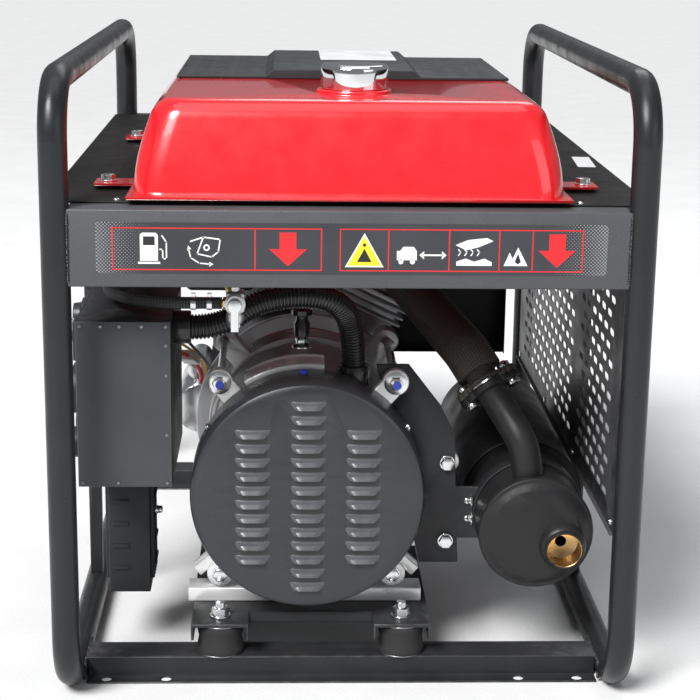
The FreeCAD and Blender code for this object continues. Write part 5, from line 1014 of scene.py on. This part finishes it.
@dataclass
class FuelTank:
    """The tray, the tank, its cap and rear cover, the tap and the hose."""

    seam: float = 516.5 * MM
    crown: float = 601.0 * MM
    bulge: float = 0.021
    middle_y: float = -109 * MM
    hump_top: float = 616.5 * MM
    tap: tuple[float, float, float] = (-112.0, -335.0, 403.0)
    hose_radius: float = 6.0 * MM

    def build(self) -> None:
        """Make the tank's pieces."""
        refined("top_tray", TRAY_COAT, 0.9 * MM, segments=3)
        self.shell()
        # The lower shell takes the darker red, painted shade below the seam.
        refined("tank_lower_shell", PAN_SHADED_RED, 0.8 * MM)
        refined("tank_rear_cover", PLASTIC_GREY, 1.0 * MM, segments=3)
        refined("fuel_cap", CHROME, 1.2 * MM, Body.CAP, 3)
        refined("filler_neck", ZINC, 0.4 * MM)
        refined("tank_bolts", ZINC, 0.35 * MM)
        refined("tank_bushes", RUBBER, 0.6 * MM)
        self.labels()
        self.tray_screws()
        self.fuel_tap()
        self.hose()

    def shell(self) -> None:
        """Round the pressed upper shell, with slightly full sides."""
        form = Form()
        form.copy_node("tank_upper_shell")
        for level in (522, 530, 540, 552, 564, 576, 588, 596):
            geom = form.bm.verts[:] + form.bm.edges[:] + form.bm.faces[:]
            bmesh.ops.bisect_plane(form.bm, geom=geom, dist=CUT_SLACK, plane_co=at_mm(0, 0, level),
                                   plane_no=(0, 0, 1))
        form.soften(2.2 * MM, 3, 32, [v for v in form.bm.verts if v.co.z > self.crown], True)
        for vert in form.bm.verts:
            share = (vert.co.z - self.seam) / (self.crown - self.seam)
            if 0 < share < 1:
                full = 1 + self.bulge * math.sin(math.pi * share ** 0.8)
                vert.co.x *= full
                vert.co.y = self.middle_y + (vert.co.y - self.middle_y) * (1 + (full - 1) * 0.5)
        form.piece("tank_upper_dressed", TANK_RED, slot="tank_red", stands_for=["tank_upper_shell"],
                   smooth=50)

    def labels(self) -> None:
        """Put the plain pale labels on the rear cover and the tray."""
        form = Form()
        form.box((-22 * MM, 2 * MM, self.hump_top), (66 * MM, 138 * MM, self.hump_top + 0.3 * MM))
        tray = aim(at_mm(277, -68, 510), (0, 0, 1), math.radians(-4))
        form.box(at_mm(-10, -41, 0), at_mm(10, 41, 0.3), tray)
        form.soften(0.1 * MM, 1)
        form.piece("plain_labels", LABEL, slot="moulded_black")

    def tray_screws(self) -> None:
        """Put the screws that hold the tray on the beams."""
        form = Form()
        for x in (-225, -75, 75, 225):
            for y in (-362, 362):
                if abs(x) > 100:
                    form.screw(at_mm(x, y, 510), Facing.UP.value, 3.5 * MM)
        form.piece("tray_screws", ZINC, slot="zinc_steel")

    def fuel_tap(self) -> None:
        """Build the cast fuel tap with its bowl, barb and clip."""
        x, y, z = (c * MM for c in self.tap)
        form = Form()
        form.box((x - 9 * MM, y - 8 * MM, z - 9 * MM), (x + 10 * MM, y + 9 * MM, z + 13 * MM))
        form.soften(3.2 * MM, 4, 30)
        form.turn(outline_mm((0, 0), (10.5, 0), (10.5, 3), (8.5, 4), (8.5, 5), (0, 5)),
                  (x, y - 7 * MM, z + 1 * MM), (0, -1, 0), 32)
        form.turn(outline_mm((0, 0), (8, 0), (8, 2), (9.2, 3), (9.2, 9), (7, 13), (0, 13.5)),
                  (x, y, z - 8 * MM), (0, 0, -1), 32)
        form.hexagon((x, y, z - 20.5 * MM), (0, 0, -1), 10 * MM, 4 * MM)
        form.rod((x, y, z + 12 * MM), (x, y, z + 60 * MM), 5.5 * MM, steps=24)
        form.hexagon((x, y, z + 52 * MM), (0, 0, 1), 15 * MM, 7 * MM)
        form.piece("fuel_tap", CAST, slot="cast_alloy", stands_for=["fuel_tap_body"])
        form = Form()
        barb = outline_mm((0, 0), (3.4, 0))
        for rib in range(4):
            barb += outline_mm((3.4, 2 + 3 * rib), (4.6, 4.4 + 3 * rib), (3.4, 4.6 + 3 * rib))
        form.turn(barb + outline_mm((3.0, 17), (0, 17)), (x - 8 * MM, y, z), (-1, 0, 0), 24)
        form.hexagon((x - 8 * MM, y, z), (-1, 0, 0), 11 * MM, 4 * MM)
        form.turn(outline_mm((0, 0), (2.6, 0), (2.6, 9), (1.2, 11), (0, 11)),
                  (x - 6 * MM, y - 2 * MM, z + 10 * MM), (-0.3, 0, 1), 20)
        form.piece("fuel_tap_barb", BRASS, slot="zinc_steel")
        refined("fuel_tap_lever", ZINC, 0.8 * MM, Body.TAP)

    def hose(self) -> None:
        """Braid the fuel hose along its clips."""
        route = Route([(-125, -335, 403), (-136, -335, 403), (-184, -335, 403), (-237, -305, 403),
                       (-249, -240, 402), (-249, -148, 400), (-221, -80, 394), (-154, -60, 380),
                       (-88, -40, 372), (-50, -12, 366), (-50, 22, 366)], 16)
        form = Form()
        rings = 360
        radius = self.hose_radius
        outline = [(0.0, 0.0)]
        outline += [(radius, route.length * ring / rings) for ring in range(rings + 1)]
        form.turn(outline + [(0.0, route.length)], (0, 0, 0), (0, 0, 1), 24)
        whole = route.length
        for vert in form.bm.verts:
            turn = math.atan2(vert.co.y, vert.co.x)
            if vert.co.xy.length > radius * 0.5:
                swell = 1 + 0.05 * math.sin(turn * 6 + vert.co.z * 900) * math.sin(turn * 6 - vert.co.z * 900)
                vert.co.x *= swell
                vert.co.y *= swell
        places = {}
        for vert in form.bm.verts:
            flat = ((math.atan2(vert.co.y, vert.co.x) / FULL_TURN) % 1.0, vert.co.z / whole)
            vert.co = route.carry(vert.co)
            places[vert.co.to_tuple(7)] = flat
        form.piece("fuel_hose_braided", HOSE, slot="hose_rubber", stands_for=["fuel_hose"],
                   uv=lambda co: places[co.to_tuple(7)])
        clips = Form()
        for spot in (10, 26, whole / MM - 12):
            start, end = route.carry(Vector(at_mm(0, 0, spot))), route.carry(Vector(at_mm(0, 0, spot + 5)))
            way = end - start
            clips.turn([(6.2 * MM, 0), (7.1 * MM, 0), (7.1 * MM, way.length), (6.2 * MM, way.length)],
                       start, way, 28, closed=True)
            clips.box(at_mm(-2.4, 6.4, 0.4), (2.4 * MM, 10 * MM, way.length - 0.4 * MM), aim(start, way))
        clips.piece("hose_clips", ZINC, slot="zinc_steel")


@dataclass
class Alternator:
    """The louvred end cover, the castings, the core and the bolts of the alternator."""

    cover_face: float = -334 * MM
    bell_face: float = -274 * MM
    louvre_width: float = 38 * MM
    louvre_rise: float = 8.5 * MM
    louvre_proud: float = 3.0 * MM
    louvre_flare: float = 2.4 * MM
    flare_share: float = 0.48
    pitch: float = 15 * MM
    columns: tuple[tuple[float, int], ...] = ((-57.0, 10), (0.0, 14), (57.0, 10))
    ear_dx: float = 92.5 * MM
    strip_right: float = 82.0
    strip_left: float = 122.0

    def build(self) -> None:
        """Make the alternator's pieces."""
        self.cover()
        refined("rear_bell", BELL_CAST, 1.4 * MM, segments=3)
        refined("front_bracket", CAST, 1.0 * MM)
        dress("stator_core", LAMINATION)
        dress("stator_windings", WINDING)
        dress("rotor", STEEL)
        refined("cooling_fan", CAST, 0.5 * MM, Body.ROTATING)
        dress("bearings", ZINC)
        refined("tie_bolts", ZINC, 0.4 * MM)
        self.ear_nuts()
        self.top_guard()

    def rows(self) -> list[tuple[float, float]]:
        """Return the middle of every louvre's slot, as X and Z."""
        spots = []
        for column, count in self.columns:
            for row in range(count):
                z = AXIS_Z + (row - (count - 1) / 2) * self.pitch
                spots.append((AXIS_X + column * MM, z))
        return spots

    def cover(self) -> None:
        """Press hoods over the cover's slots and round its rim."""
        form = Form()
        form.copy_node("alternator_end_cover")
        form.soften(0.5 * MM, 2, 32, keep_in=False)
        form.piece("alternator_cover_dressed", COVER_COAT, slot="cover_black",
                   stands_for=["alternator_end_cover"])
        form = Form()
        for x, z in self.rows():
            grid = bmesh.ops.create_grid(form.bm, x_segments=14, y_segments=12, size=0.5)["verts"]
            for vert in grid:
                across, up = vert.co.x * 2, vert.co.y + 0.5
                side = max(0.0, 1 - abs(across) ** 6)
                curve = self.louvre_proud * (math.cos(up * math.pi / 2) ** 0.6 if up < 0.99 else 0.0)
                flare = self.louvre_flare * max(0.0, 1 - up / self.flare_share)
                narrow = 1 - 0.20 * (1 - up)
                vert.co = Vector((x + across * narrow * self.louvre_width / 2,
                                  self.cover_face + 0.1 * MM - (curve + flare) * side,
                                  z - 3.2 * MM + up * self.louvre_rise))
            faces = list({f for v in grid for f in v.link_faces})
            bmesh.ops.recalc_face_normals(form.bm, faces=faces)
            if sum(f.normal.y for f in faces) > 0:
                bmesh.ops.reverse_faces(form.bm, faces=faces)
            bmesh.ops.solidify(form.bm, geom=faces, thickness=0.9 * MM)
        # The hoods take the lighter louvre coat, a painted sheen on the same sheet as the cover.
        form.piece("cover_louvres", LOUVRE_SHEEN_COAT, slot="cover_black")
        screws = Form()
        for angle in (150, 210, 330, 30):
            turn = math.radians(angle)
            way = (math.cos(turn), 0, math.sin(turn))
            spot = (AXIS_X + 121.3 * MM * way[0], -283 * MM, AXIS_Z + 121.3 * MM * way[2])
            screws.turn(outline_mm((0, 0), (5.0, 0), (5.0, 0.6), (3.4, 0.8), (3.2, 2.2), (0, 2.4)), spot,
                        way, 24)
        screws.piece("cover_screws", ZINC, slot="zinc_steel")

    def ear_nuts(self) -> None:
        """Put the flange nuts with their blue marks on the bell's ears."""
        nuts, marks = Form(), Form()
        for side in (-1, 1):
            x = AXIS_X + side * self.ear_dx
            z = AXIS_Z + 106.4 * MM
            y = self.bell_face - 1.4 * MM
            nuts.turn(outline_mm((0, 0), (12.5, 0), (12.5, 1.2), (9, 2.4), (0, 2.4)), (x, y + 1.4 * MM, z),
                      (0, -1, 0), 40)
            marks.turn(outline_mm((0, 0), (4.6, 0), (4.2, 0.35), (0, 0.4)),
                       (x + 0.8 * MM, self.bell_face - 9.0 * MM, z - 0.6 * MM), (0, -1, 0), 20)
        marks.turn(outline_mm((0, 0), (4.6, 0), (4.4, 2.2), (3.2, 3.0), (0, 3.1)),
                   (AXIS_X - 5 * MM, -289 * MM, AXIS_Z + 121 * MM), (0, 0, 1), 24)
        nuts.piece("ear_washers", ZINC, slot="zinc_steel")
        marks.piece("torque_marks", BLUE_PAINT, slot="zinc_steel")

    def top_guard(self) -> None:
        """Build the raised strip over the bell and the rubber capped stud behind it."""
        form = Form()
        form.turn(outline_mm((119, 0), (125, 0), (126.5, 1.5), (126.5, 30), (129, 31), (129, 34), (119, 34)),
                  (AXIS_X, -272 * MM, AXIS_Z), (0, 1, 0), 128, closed=True)
        for angle, inner in ((self.strip_right, True), (self.strip_left, False)):
            turn = math.radians(angle)
            geom = form.bm.verts[:] + form.bm.edges[:] + form.bm.faces[:]
            cut = bmesh.ops.bisect_plane(form.bm, geom=geom, dist=CUT_SLACK, plane_co=(AXIS_X, 0, AXIS_Z),
                                         plane_no=(-math.sin(turn), 0, math.cos(turn)), clear_inner=inner,
                                         clear_outer=not inner)
            edges = [g for g in cut["geom_cut"] if isinstance(g, bmesh.types.BMEdge)]
            bmesh.ops.holes_fill(form.bm, edges=edges, sides=0)
        form.soften(0.8 * MM, 2, 40)
        form.piece("bell_top_strip", BELL_CAST, slot="cast_alloy")
        stud = Form()
        spot = Vector(at_mm(-44, -222, 330))
        stud.turn(outline_mm((0, 0), (9, 0), (9, 3), (6, 4), (6, 12), (8.5, 13), (8.5, 26), (6.5, 30),
                             (6.5, 34), (11, 36), (11, 41), (8, 43), (0, 43.5)), spot, (0, 0, 1), 32)
        stud.piece("terminal_boot", GLOSSY_PLASTIC, slot="moulded_black")
        nut = Form()
        nut.bolt(spot + Vector(at_mm(0, 0, 0.2)), (0, 0, 1), 13 * MM, 10.5 * MM)
        nut.piece("terminal_nut", ZINC, slot="zinc_steel")


@dataclass
class Engine:
    """The crankcase, the head and everything bolted to them."""

    def build(self) -> None:
        """Make the engine's pieces."""
        refined("crankcase", CAST, 1.2 * MM)
        refined("cylinder_head", CAST, 0.6 * MM)
        refined("rocker_cover", SHEET_COAT, 2.0 * MM, segments=3)
        refined("carburettor", CAST, 0.7 * MM)
        refined("air_cleaner", PLASTIC, 2.5 * MM, segments=3)
        refined("fan_shroud", SHEET_COAT, 1.0 * MM)
        refined("recoil_cover", SHEET_COAT, 0.8 * MM)
        refined("recoil_handle", PLASTIC, 1.6 * MM, Body.GRIP, 3)
        dress("recoil_pulley", PLASTIC)
        dress("flywheel", IRON)
        dress("crankshaft", STEEL)
        refined("starter_motor", ZINC, 0.8 * MM)
        refined("spark_plug", ZINC, 0.3 * MM)
        refined("choke_lever", PLASTIC, 0.8 * MM, Body.CHOKE)
        refined("oil_dipstick", PLASTIC, 0.8 * MM, Body.DIPSTICK)
        self.shroud_bolts()
        # A dark sheet behind the exhaust pipe stands in for the shade there: painted shade.
        self.side_shade_sheet()

    def shroud_bolts(self) -> None:
        """Put the bolts round the recoil cover's rim."""
        form = Form()
        for angle in (20, 110, 200, 290):
            turn = math.radians(angle)
            spot = (AXIS_X + 113 * MM * math.cos(turn), 237.5 * MM, AXIS_Z + 113 * MM * math.sin(turn))
            form.bolt(spot, Facing.BACK.value, 8 * MM, 7.5 * MM)
        form.piece("recoil_bolts", ZINC, slot="zinc_steel")


    def side_shade_sheet(self) -> None:
        """Stand a dark folded sheet beside the cylinder, behind the exhaust pipe, as painted shade that
        darkens the gap there.
        """
        form = Form()
        form.box(at_mm(66, 104, 246), at_mm(214, 105.2, 424))
        form.box(at_mm(212.8, 84, 246), at_mm(214, 104, 424))
        form.box(at_mm(66, 92, 246), at_mm(212.8, 104, 247.2))
        form.soften(0.3 * MM, 2)
        form.piece("cylinder_shade_sheet", HEAT_COAT, slot="exhaust_black")


@dataclass
class Exhaust:
    """The wrapped pipe, the muffler, its shield and its bracket."""

    flange: tuple[float, float, float] = (153.0, -262.0, 298.0)
    flange_way: tuple[float, float, float] = (-0.477, 0.518, 0.708)
    outlet: tuple[float, float, float] = (227.26, -351.0, 146.4)
    outlet_radius: float = 20 * MM
    can: tuple[float, float] = (200 * MM, 158 * MM)
    can_radius: float = 58 * MM
    can_front: float = -335 * MM

    def build(self) -> None:
        """Make the exhaust's pieces."""
        self.wrap()
        refined("muffler_pipe", HEAT_COAT, 0.5 * MM)
        refined("muffler", HEAT_COAT, 1.6 * MM, segments=3)
        refined("heat_shield", HEAT_COAT, 0.4 * MM)
        refined("muffler_bracket", SHEET_COAT, 0.5 * MM)
        refined("exhaust_bolts", ZINC, 0.4 * MM)
        self.outlet_lining()
        self.gasket()
        self.band_clamp()

    def wrap(self) -> None:
        """Give the upper pipe its woven sleeve, on a map that follows the pipe."""
        form = Form()
        form.copy_node("exhaust_pipe")
        form.soften(0.5 * MM, 2, 32)
        start, end = Vector((0.153, -0.262, 0.298)), Vector((0.078, -0.007, 0.359))
        way = (end - start).normalized()
        side = way.orthogonal().normalized()
        up = way.cross(side)
        core = Route([(153, -262, 298), (134, -241, 326), (118, -222, 350), (96, -160, 362), (80, -80, 362),
                      (78, -7, 359)], 12)

        def lie(co: Vector) -> tuple[float, float]:
            """Return the turn about the pipe and the share of its length at a place."""
            index = min(range(len(core.points)), key=lambda i: (core.points[i] - co).length_squared)
            off = co - core.points[index]
            turn = math.atan2(off.dot(up), off.dot(side)) / FULL_TURN
            return turn % 1.0, core.runs[index] / core.length

        form.piece("exhaust_pipe_wrapped", WRAP, slot="wrapped_pipe", stands_for=["exhaust_pipe"], uv=lie)

    def outlet_lining(self) -> None:
        """Line the outlet with heat stained steel and roll its lip."""
        x, y, z = (c * MM for c in self.outlet)
        form = Form()
        bore = self.outlet_radius - 2.0 * MM
        form.turn([(bore, 0.2 * MM), (bore, 30 * MM), (bore - 0.6 * MM, 30 * MM),
                   (bore - 0.6 * MM, 0.6 * MM)], (x, y, z), (0, 1, 0), 48, closed=True)
        form.turn([(bore - 0.6 * MM, 26 * MM), (9 * MM, 29 * MM), (6 * MM, 29.5 * MM), (6 * MM, 31 * MM),
                   (bore - 0.6 * MM, 31 * MM)], (x, y, z), (0, 1, 0), 48, closed=True)
        form.piece("outlet_lining", HEATED, slot="exhaust_black")
        lip = Form()
        ring = [(self.outlet_radius - 1.0 * MM + 1.2 * MM * math.cos(a * math.pi / 4),
                 1.2 * MM + 1.2 * MM * math.sin(a * math.pi / 4)) for a in range(8)]
        lip.turn(ring, (x, y, z), (0, 1, 0), 56, closed=True)
        collar = [(self.outlet_radius, 6 * MM), (self.outlet_radius + 2.6 * MM, 8 * MM),
                  (self.outlet_radius + 4.2 * MM, 12 * MM), (self.outlet_radius + 4.6 * MM, 16.4 * MM),
                  (self.outlet_radius, 16.4 * MM)]
        lip.turn(collar, (x, y, z), (0, 1, 0), 56, closed=True)
        lip.piece("outlet_lip", HEAT_COAT, slot="exhaust_black")

    def gasket(self) -> None:
        """Put the bright gasket between the flanges."""
        way = Vector(self.flange_way).normalized()
        spot = Vector(self.flange) * MM
        form = Form()
        form.turn(outline_mm((17, -0.6), (25.6, -0.6), (25.6, 0.6), (17, 0.6)), spot, way, 48, closed=True)
        form.piece("flange_gasket", ZINC, slot="zinc_steel")

    def band_clamp(self) -> None:
        """Add the band's two bolts and the rolled seam rings of the can."""
        x, z = self.can
        form = Form()
        for y, way in ((self.can_front + 7.5 * MM, 1), (97.5 * MM, 1)):
            ring = [(self.can_radius + 0.9 * MM + 1.3 * MM * math.cos(turn), 1.9 * MM * math.sin(turn))
                    for turn in (a * math.pi / 3 for a in range(6))]
            form.turn(ring, (x, y, z), (0, way, 0), 96, closed=True)
        form.piece("muffler_seams", HEAT_COAT, slot="exhaust_black")
        bolt = Form()
        bolt.bolt((x - 60.4 * MM, -261 * MM, z - 8 * MM), Facing.LEFT.value, 8 * MM, 7.5 * MM)
        bolt.bolt((x - 60.4 * MM, -261 * MM, z + 12 * MM), Facing.LEFT.value, 8 * MM, 7.5 * MM)
        bolt.piece("band_bolts", ZINC, slot="zinc_steel")


@dataclass
class ControlBox:
    """The control box, its panel and its controls, the rectifier housing and the conduit."""

    lid_face: float = -347 * MM
    lid_left: float = -270.5 * MM
    lid_right: float = -176 * MM
    lid_low: float = 214 * MM
    lid_high: float = 386 * MM

    def build(self) -> None:
        """Make the control box's pieces."""
        refined("control_box", SHEET_COAT, 0.8 * MM)
        refined("box_lid", BOX_COAT, 0.9 * MM, segments=3)
        refined("control_panel", SHEET_COAT, 0.6 * MM)
        refined("current_knob", PLASTIC, 0.7 * MM, Body.KNOB)
        refined("ignition_key", ZINC, 0.5 * MM, Body.KEY)
        refined("breaker_lever", PLASTIC, 0.5 * MM, Body.BREAKER)
        refined("weld_terminals", PLASTIC, 0.7 * MM)
        refined("rectifier_housing", PLASTIC_GREY, 1.2 * MM, segments=3)
        refined("conduit_glands", GLOSSY_PLASTIC, 0.7 * MM)
        self.lid_screws()
        self.housing_slots()
        self.conduit()
        self.dial()

    def lid_screws(self) -> None:
        """Put the small screws round the lid."""
        form = Form()
        inset = 4.6 * MM
        left, span = self.lid_left + inset, self.lid_right - self.lid_left - 2 * inset
        spots = [(left + share * span, self.lid_high - inset)
                 for share in (0.0, 0.24, 0.46, 0.72, 1.0)]
        spots += [(self.lid_right - inset, self.lid_low + share * (self.lid_high - self.lid_low))
                  for share in (0.32, 0.68, 0.86)]
        spots += [(left + share * span, self.lid_low + inset)
                  for share in (0.0, 0.42, 1.0)]
        for number, (x, z) in enumerate(spots):
            form.screw((x, self.lid_face, z), Facing.FRONT.value, 1.9 * MM, 0.7 * number)
        form.piece("lid_screws", STEEL, slot="zinc_steel")

    def housing_slots(self) -> None:
        """Press the small hoods down the front and side of the rectifier housing."""
        form = Form()
        for row in range(5):
            z = (92 + 25 * row) * MM
            form.box((-246 * MM, -263.6 * MM, z), (-228 * MM, -261.9 * MM, z + 4 * MM))
            form.box((-202.1 * MM, -252 * MM, z), (-200.4 * MM, -212 * MM, z + 4 * MM))
        form.soften(0.7 * MM, 2)
        form.piece("housing_hoods", PLASTIC_GREY, slot="moulded_black")
        bolt = Form()
        bolt.bolt(at_mm(-202, -232, 150), Facing.RIGHT.value, 8 * MM, 7.5 * MM)
        bolt.piece("housing_bolt", ZINC, slot="zinc_steel")

    def conduit(self) -> None:
        """Corrugate the conduit along its route."""
        route = Route([(-158, -300, 370), (-128, -300, 370), (-92, -298, 396), (-48, -292, 402.6),
                       (-8, -280, 394.6), (10, -252, 360.6), (10, -252, 318.6)], 20)
        form = Form()
        pitch = 3.6 * MM
        count = int(route.length / pitch)
        pitch = route.length / count
        outline = outline_mm((0.0, 0.0), (11.4, 0.0))
        for ridge in range(count):
            base = ridge * pitch
            outline += [(11.4 * MM, base + 0.10 * pitch), (12.8 * MM, base + 0.30 * pitch),
                        (13.0 * MM, base + 0.52 * pitch), (12.8 * MM, base + 0.74 * pitch),
                        (11.4 * MM, base + 0.94 * pitch)]
        outline += [(11.4 * MM, route.length), (0.0, route.length)]
        form.turn(outline, (0, 0, 0), (0, 0, 1), 32)
        form.bend(route)
        form.piece("conduit_ribbed", GLOSSY_PLASTIC, slot="moulded_black", stands_for=["conduit"],
                   smooth=60)

    def dial(self) -> None:
        """Mark the current knob's scale with plain strokes on the panel."""
        form = Form()
        x, y, z = at_mm(-270.5, -200.5, 358)
        for step in range(11):
            turn = math.radians(-135 + 27 * step)
            spot = Matrix.Translation((x, y, z)) @ Matrix.Rotation(turn, 4, "X")
            form.box(at_mm(-0.12, -0.5, 18), at_mm(0.02, 0.5, 21.5 if step % 5 else 23), spot)
        form.piece("dial_marks", WHITE_INK, slot="moulded_black")


@dataclass
class Cradle:
    """The welded cradle, its rubber mounts and the studs."""

    mounts: tuple[float, float] = (-129.0, 62.0)
    rows: tuple[float, float] = (-314.0, 314.0)
    low: float = 22 * MM
    high: float = 56 * MM
    radius: float = 25 * MM

    def build(self) -> None:
        """Make the cradle's pieces."""
        refined("engine_cradle", SHEET_COAT, 1.0 * MM)
        refined("mount_studs", ZINC, 0.35 * MM)
        self.rubbers()

    def rubbers(self) -> None:
        """Turn the rubber mounts, waisted between their steel plates."""
        rubber, plates = Form(), Form()
        tall = self.high - self.low
        for x in self.mounts:
            for y in self.rows:
                r = self.radius
                waist = [(5.6 * MM, 1.6 * MM), (r - 0.8 * MM, 1.6 * MM), (r, 3 * MM), (r - 0.6 * MM, 7 * MM),
                         (r - 2.2 * MM, tall / 2), (r - 0.6 * MM, tall - 7 * MM), (r, tall - 3 * MM),
                         (r - 0.8 * MM, tall - 1.6 * MM), (5.6 * MM, tall - 1.6 * MM)]
                rubber.turn(waist, (x * MM, y * MM, self.low), (0, 0, 1), 64, closed=True)
                for z in (0.0, tall - 1.6 * MM):
                    plates.turn([(5.6 * MM, 0), (r - 1.2 * MM, 0), (r - 0.9 * MM, 0.4 * MM),
                                 (r - 0.9 * MM, 1.2 * MM), (r - 1.2 * MM, 1.6 * MM), (5.6 * MM, 1.6 * MM)],
                                (x * MM, y * MM, self.low + z), (0, 0, 1), 48, closed=True)
        rubber.piece("rubber_mounts_waisted", RUBBER, slot="mount_rubber", stands_for=["rubber_mounts"],
                     smooth=50)
        plates.piece("mount_plates", STEEL, slot="zinc_steel")


@dataclass
class Wiring:
    """The short wires and connectors that are seen beside the engine."""

    def build(self) -> None:
        """Run the wires and clip on their connectors."""
        wire("starter_lead", [(-163, 4, 231), (-160, -30, 250), (-168, -90, 282), (-176, -130, 300),
                              (-190, -165, 310)], 2.6 * MM, RED_WIRE)
        wire("sensor_lead", [(-158, 10, 231), (-152, -40, 262), (-164, -110, 296), (-184, -165, 324)],
             1.6 * MM, YELLOW_WIRE)
        wire("ground_lead", [(-150, 20, 230), (-146, -40, 254), (-158, -100, 290), (-182, -165, 336)],
             1.8 * MM, GLOSSY_PLASTIC)
        block = Form()
        block.box(at_mm(-9, -6, -11), at_mm(9, 6, 11), aim(at_mm(-170, -104, 288), (-0.2, -0.8, 0.45)))
        block.soften(1.2 * MM, 2)
        block.piece("wire_connector", WHITE_PLASTIC, slot="moulded_black")
        wire("plug_lead", [(62, 40, 392), (40, 20, 404), (0, 30, 408), (-40, 90, 398), (-60, 150, 380),
                           (-60, 160, 350)], 3.4 * MM, GLOSSY_PLASTIC)


MAKERS = (TubeFrame, FrontBeam, FuelTank, Alternator, Engine, Exhaust, ControlBox, Cradle, Wiring)


@dataclass
class Studio:
    """The floor, the lights and the camera."""

    camera_spot: Point = at_mm(-64.3, -2032.3, 782.5)
    pitch: float = 14.118
    yaw: float = 2.279
    roll: float = 0.797
    focal: float = 1741.0 * 36.0 / 700.0
    sky: Colour = (0.80, 0.82, 0.85)
    sky_strength: float = 0.24
    sun_way: Point = (-0.42, -0.62, 0.80)
    sun_strength: float = 4.0
    sun_spread: float = 24.0
    floor_reach: float = 60.0

    def build(self) -> None:
        """Make the camera, the lights, the sky and the floor."""
        self.camera()
        self.sun()
        self.light("key", (-1.5, -2.2, 2.6), (0.0, -0.1, 0.35), 1.7, 1.0, 20.0, (1.0, 0.985, 0.96))
        self.light("fill", (1.9, -2.0, 1.3), (0.0, -0.1, 0.25), 1.6, 1.2, 9.0, (0.93, 0.96, 1.0))
        self.light("top", (0.1, -0.3, 2.8), (0.0, 0.0, 0.3), 2.2, 1.4, 10.0, (1.0, 1.0, 1.0))
        self.light("back", (0.6, 2.2, 2.6), (0.0, 0.1, 0.3), 1.8, 1.2, 16.0, (0.97, 0.98, 1.0))
        world = bpy.data.worlds.new("studio")
        world.use_nodes = True
        ground = world.node_tree.nodes["Background"]
        ground.inputs["Color"].default_value = (*self.sky, 1.0)
        ground.inputs["Strength"].default_value = self.sky_strength
        bpy.context.scene.world = world
        bpy.context.scene.view_settings.view_transform = "Standard"
        self.floor()

    def camera(self) -> None:
        """Put the camera where it looks at the front from a little above."""
        pitch, yaw, roll = (math.radians(a) for a in (self.pitch, self.yaw, self.roll))
        ahead = Vector((math.sin(yaw) * math.cos(pitch), math.cos(yaw) * math.cos(pitch), -math.sin(pitch)))
        level = Vector((math.cos(yaw), -math.sin(yaw), 0.0))
        over = level.cross(ahead)
        right = level * math.cos(roll) + over * math.sin(roll)
        up = over * math.cos(roll) - level * math.sin(roll)
        data = bpy.data.cameras.new("camera")
        data.lens = self.focal
        data.sensor_width = 36.0
        data.clip_start = 0.05
        holder = bpy.data.objects.new("camera", data)
        bpy.context.scene.collection.objects.link(holder)
        turn = Matrix((right, up, -ahead)).transposed().to_4x4()
        holder.matrix_world = Matrix.Translation(Vector(self.camera_spot)) @ turn
        bpy.context.scene.camera = holder

    def sun(self) -> None:
        """Hang the wide, even light that reaches the whole floor."""
        data = bpy.data.lights.new("sun", "SUN")
        data.energy = self.sun_strength
        data.angle = math.radians(self.sun_spread)
        holder = bpy.data.objects.new("sun", data)
        bpy.context.scene.collection.objects.link(holder)
        holder.matrix_world = Vector(self.sun_way).to_track_quat("Z", "Y").to_matrix().to_4x4()

    def light(self, name: str, spot: Point, target: Point, width: float, height: float, power: float,
              colour: Colour) -> None:
        """Hang one soft box.

        Args:
            name: The light's name.
            spot: Where it hangs.
            target: What it faces.
            width: Its width.
            height: Its height.
            power: Its power in watts.
            colour: Its colour.
        """
        data = bpy.data.lights.new(name, "AREA")
        data.shape = "RECTANGLE"
        data.size, data.size_y = width, height
        data.energy = power
        data.color = colour
        holder = bpy.data.objects.new(name, data)
        bpy.context.scene.collection.objects.link(holder)
        way = Vector(spot) - Vector(target)
        turned = way.to_track_quat("Z", "Y").to_matrix().to_4x4()
        holder.matrix_world = Matrix.Translation(Vector(spot)) @ turned

    def floor(self) -> None:
        """Lay the pale floor under the frame."""
        form = bmesh.new()
        bmesh.ops.create_grid(form, x_segments=4, y_segments=4, size=self.floor_reach)
        mesh = bpy.data.meshes.new("floor")
        form.to_mesh(mesh)
        form.free()
        mesh.materials.append(FLOOR.material())
        floor = bpy.data.objects.new("floor", mesh)
        bpy.context.scene.collection.objects.link(floor)


def main() -> None:
    """Build every sub-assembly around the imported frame."""
    logging.basicConfig(level=logging.INFO, format="%(name)s: %(message)s")
    Studio().build()
    for maker in MAKERS:
        maker().build()


if __name__ == "__main__":
    main()
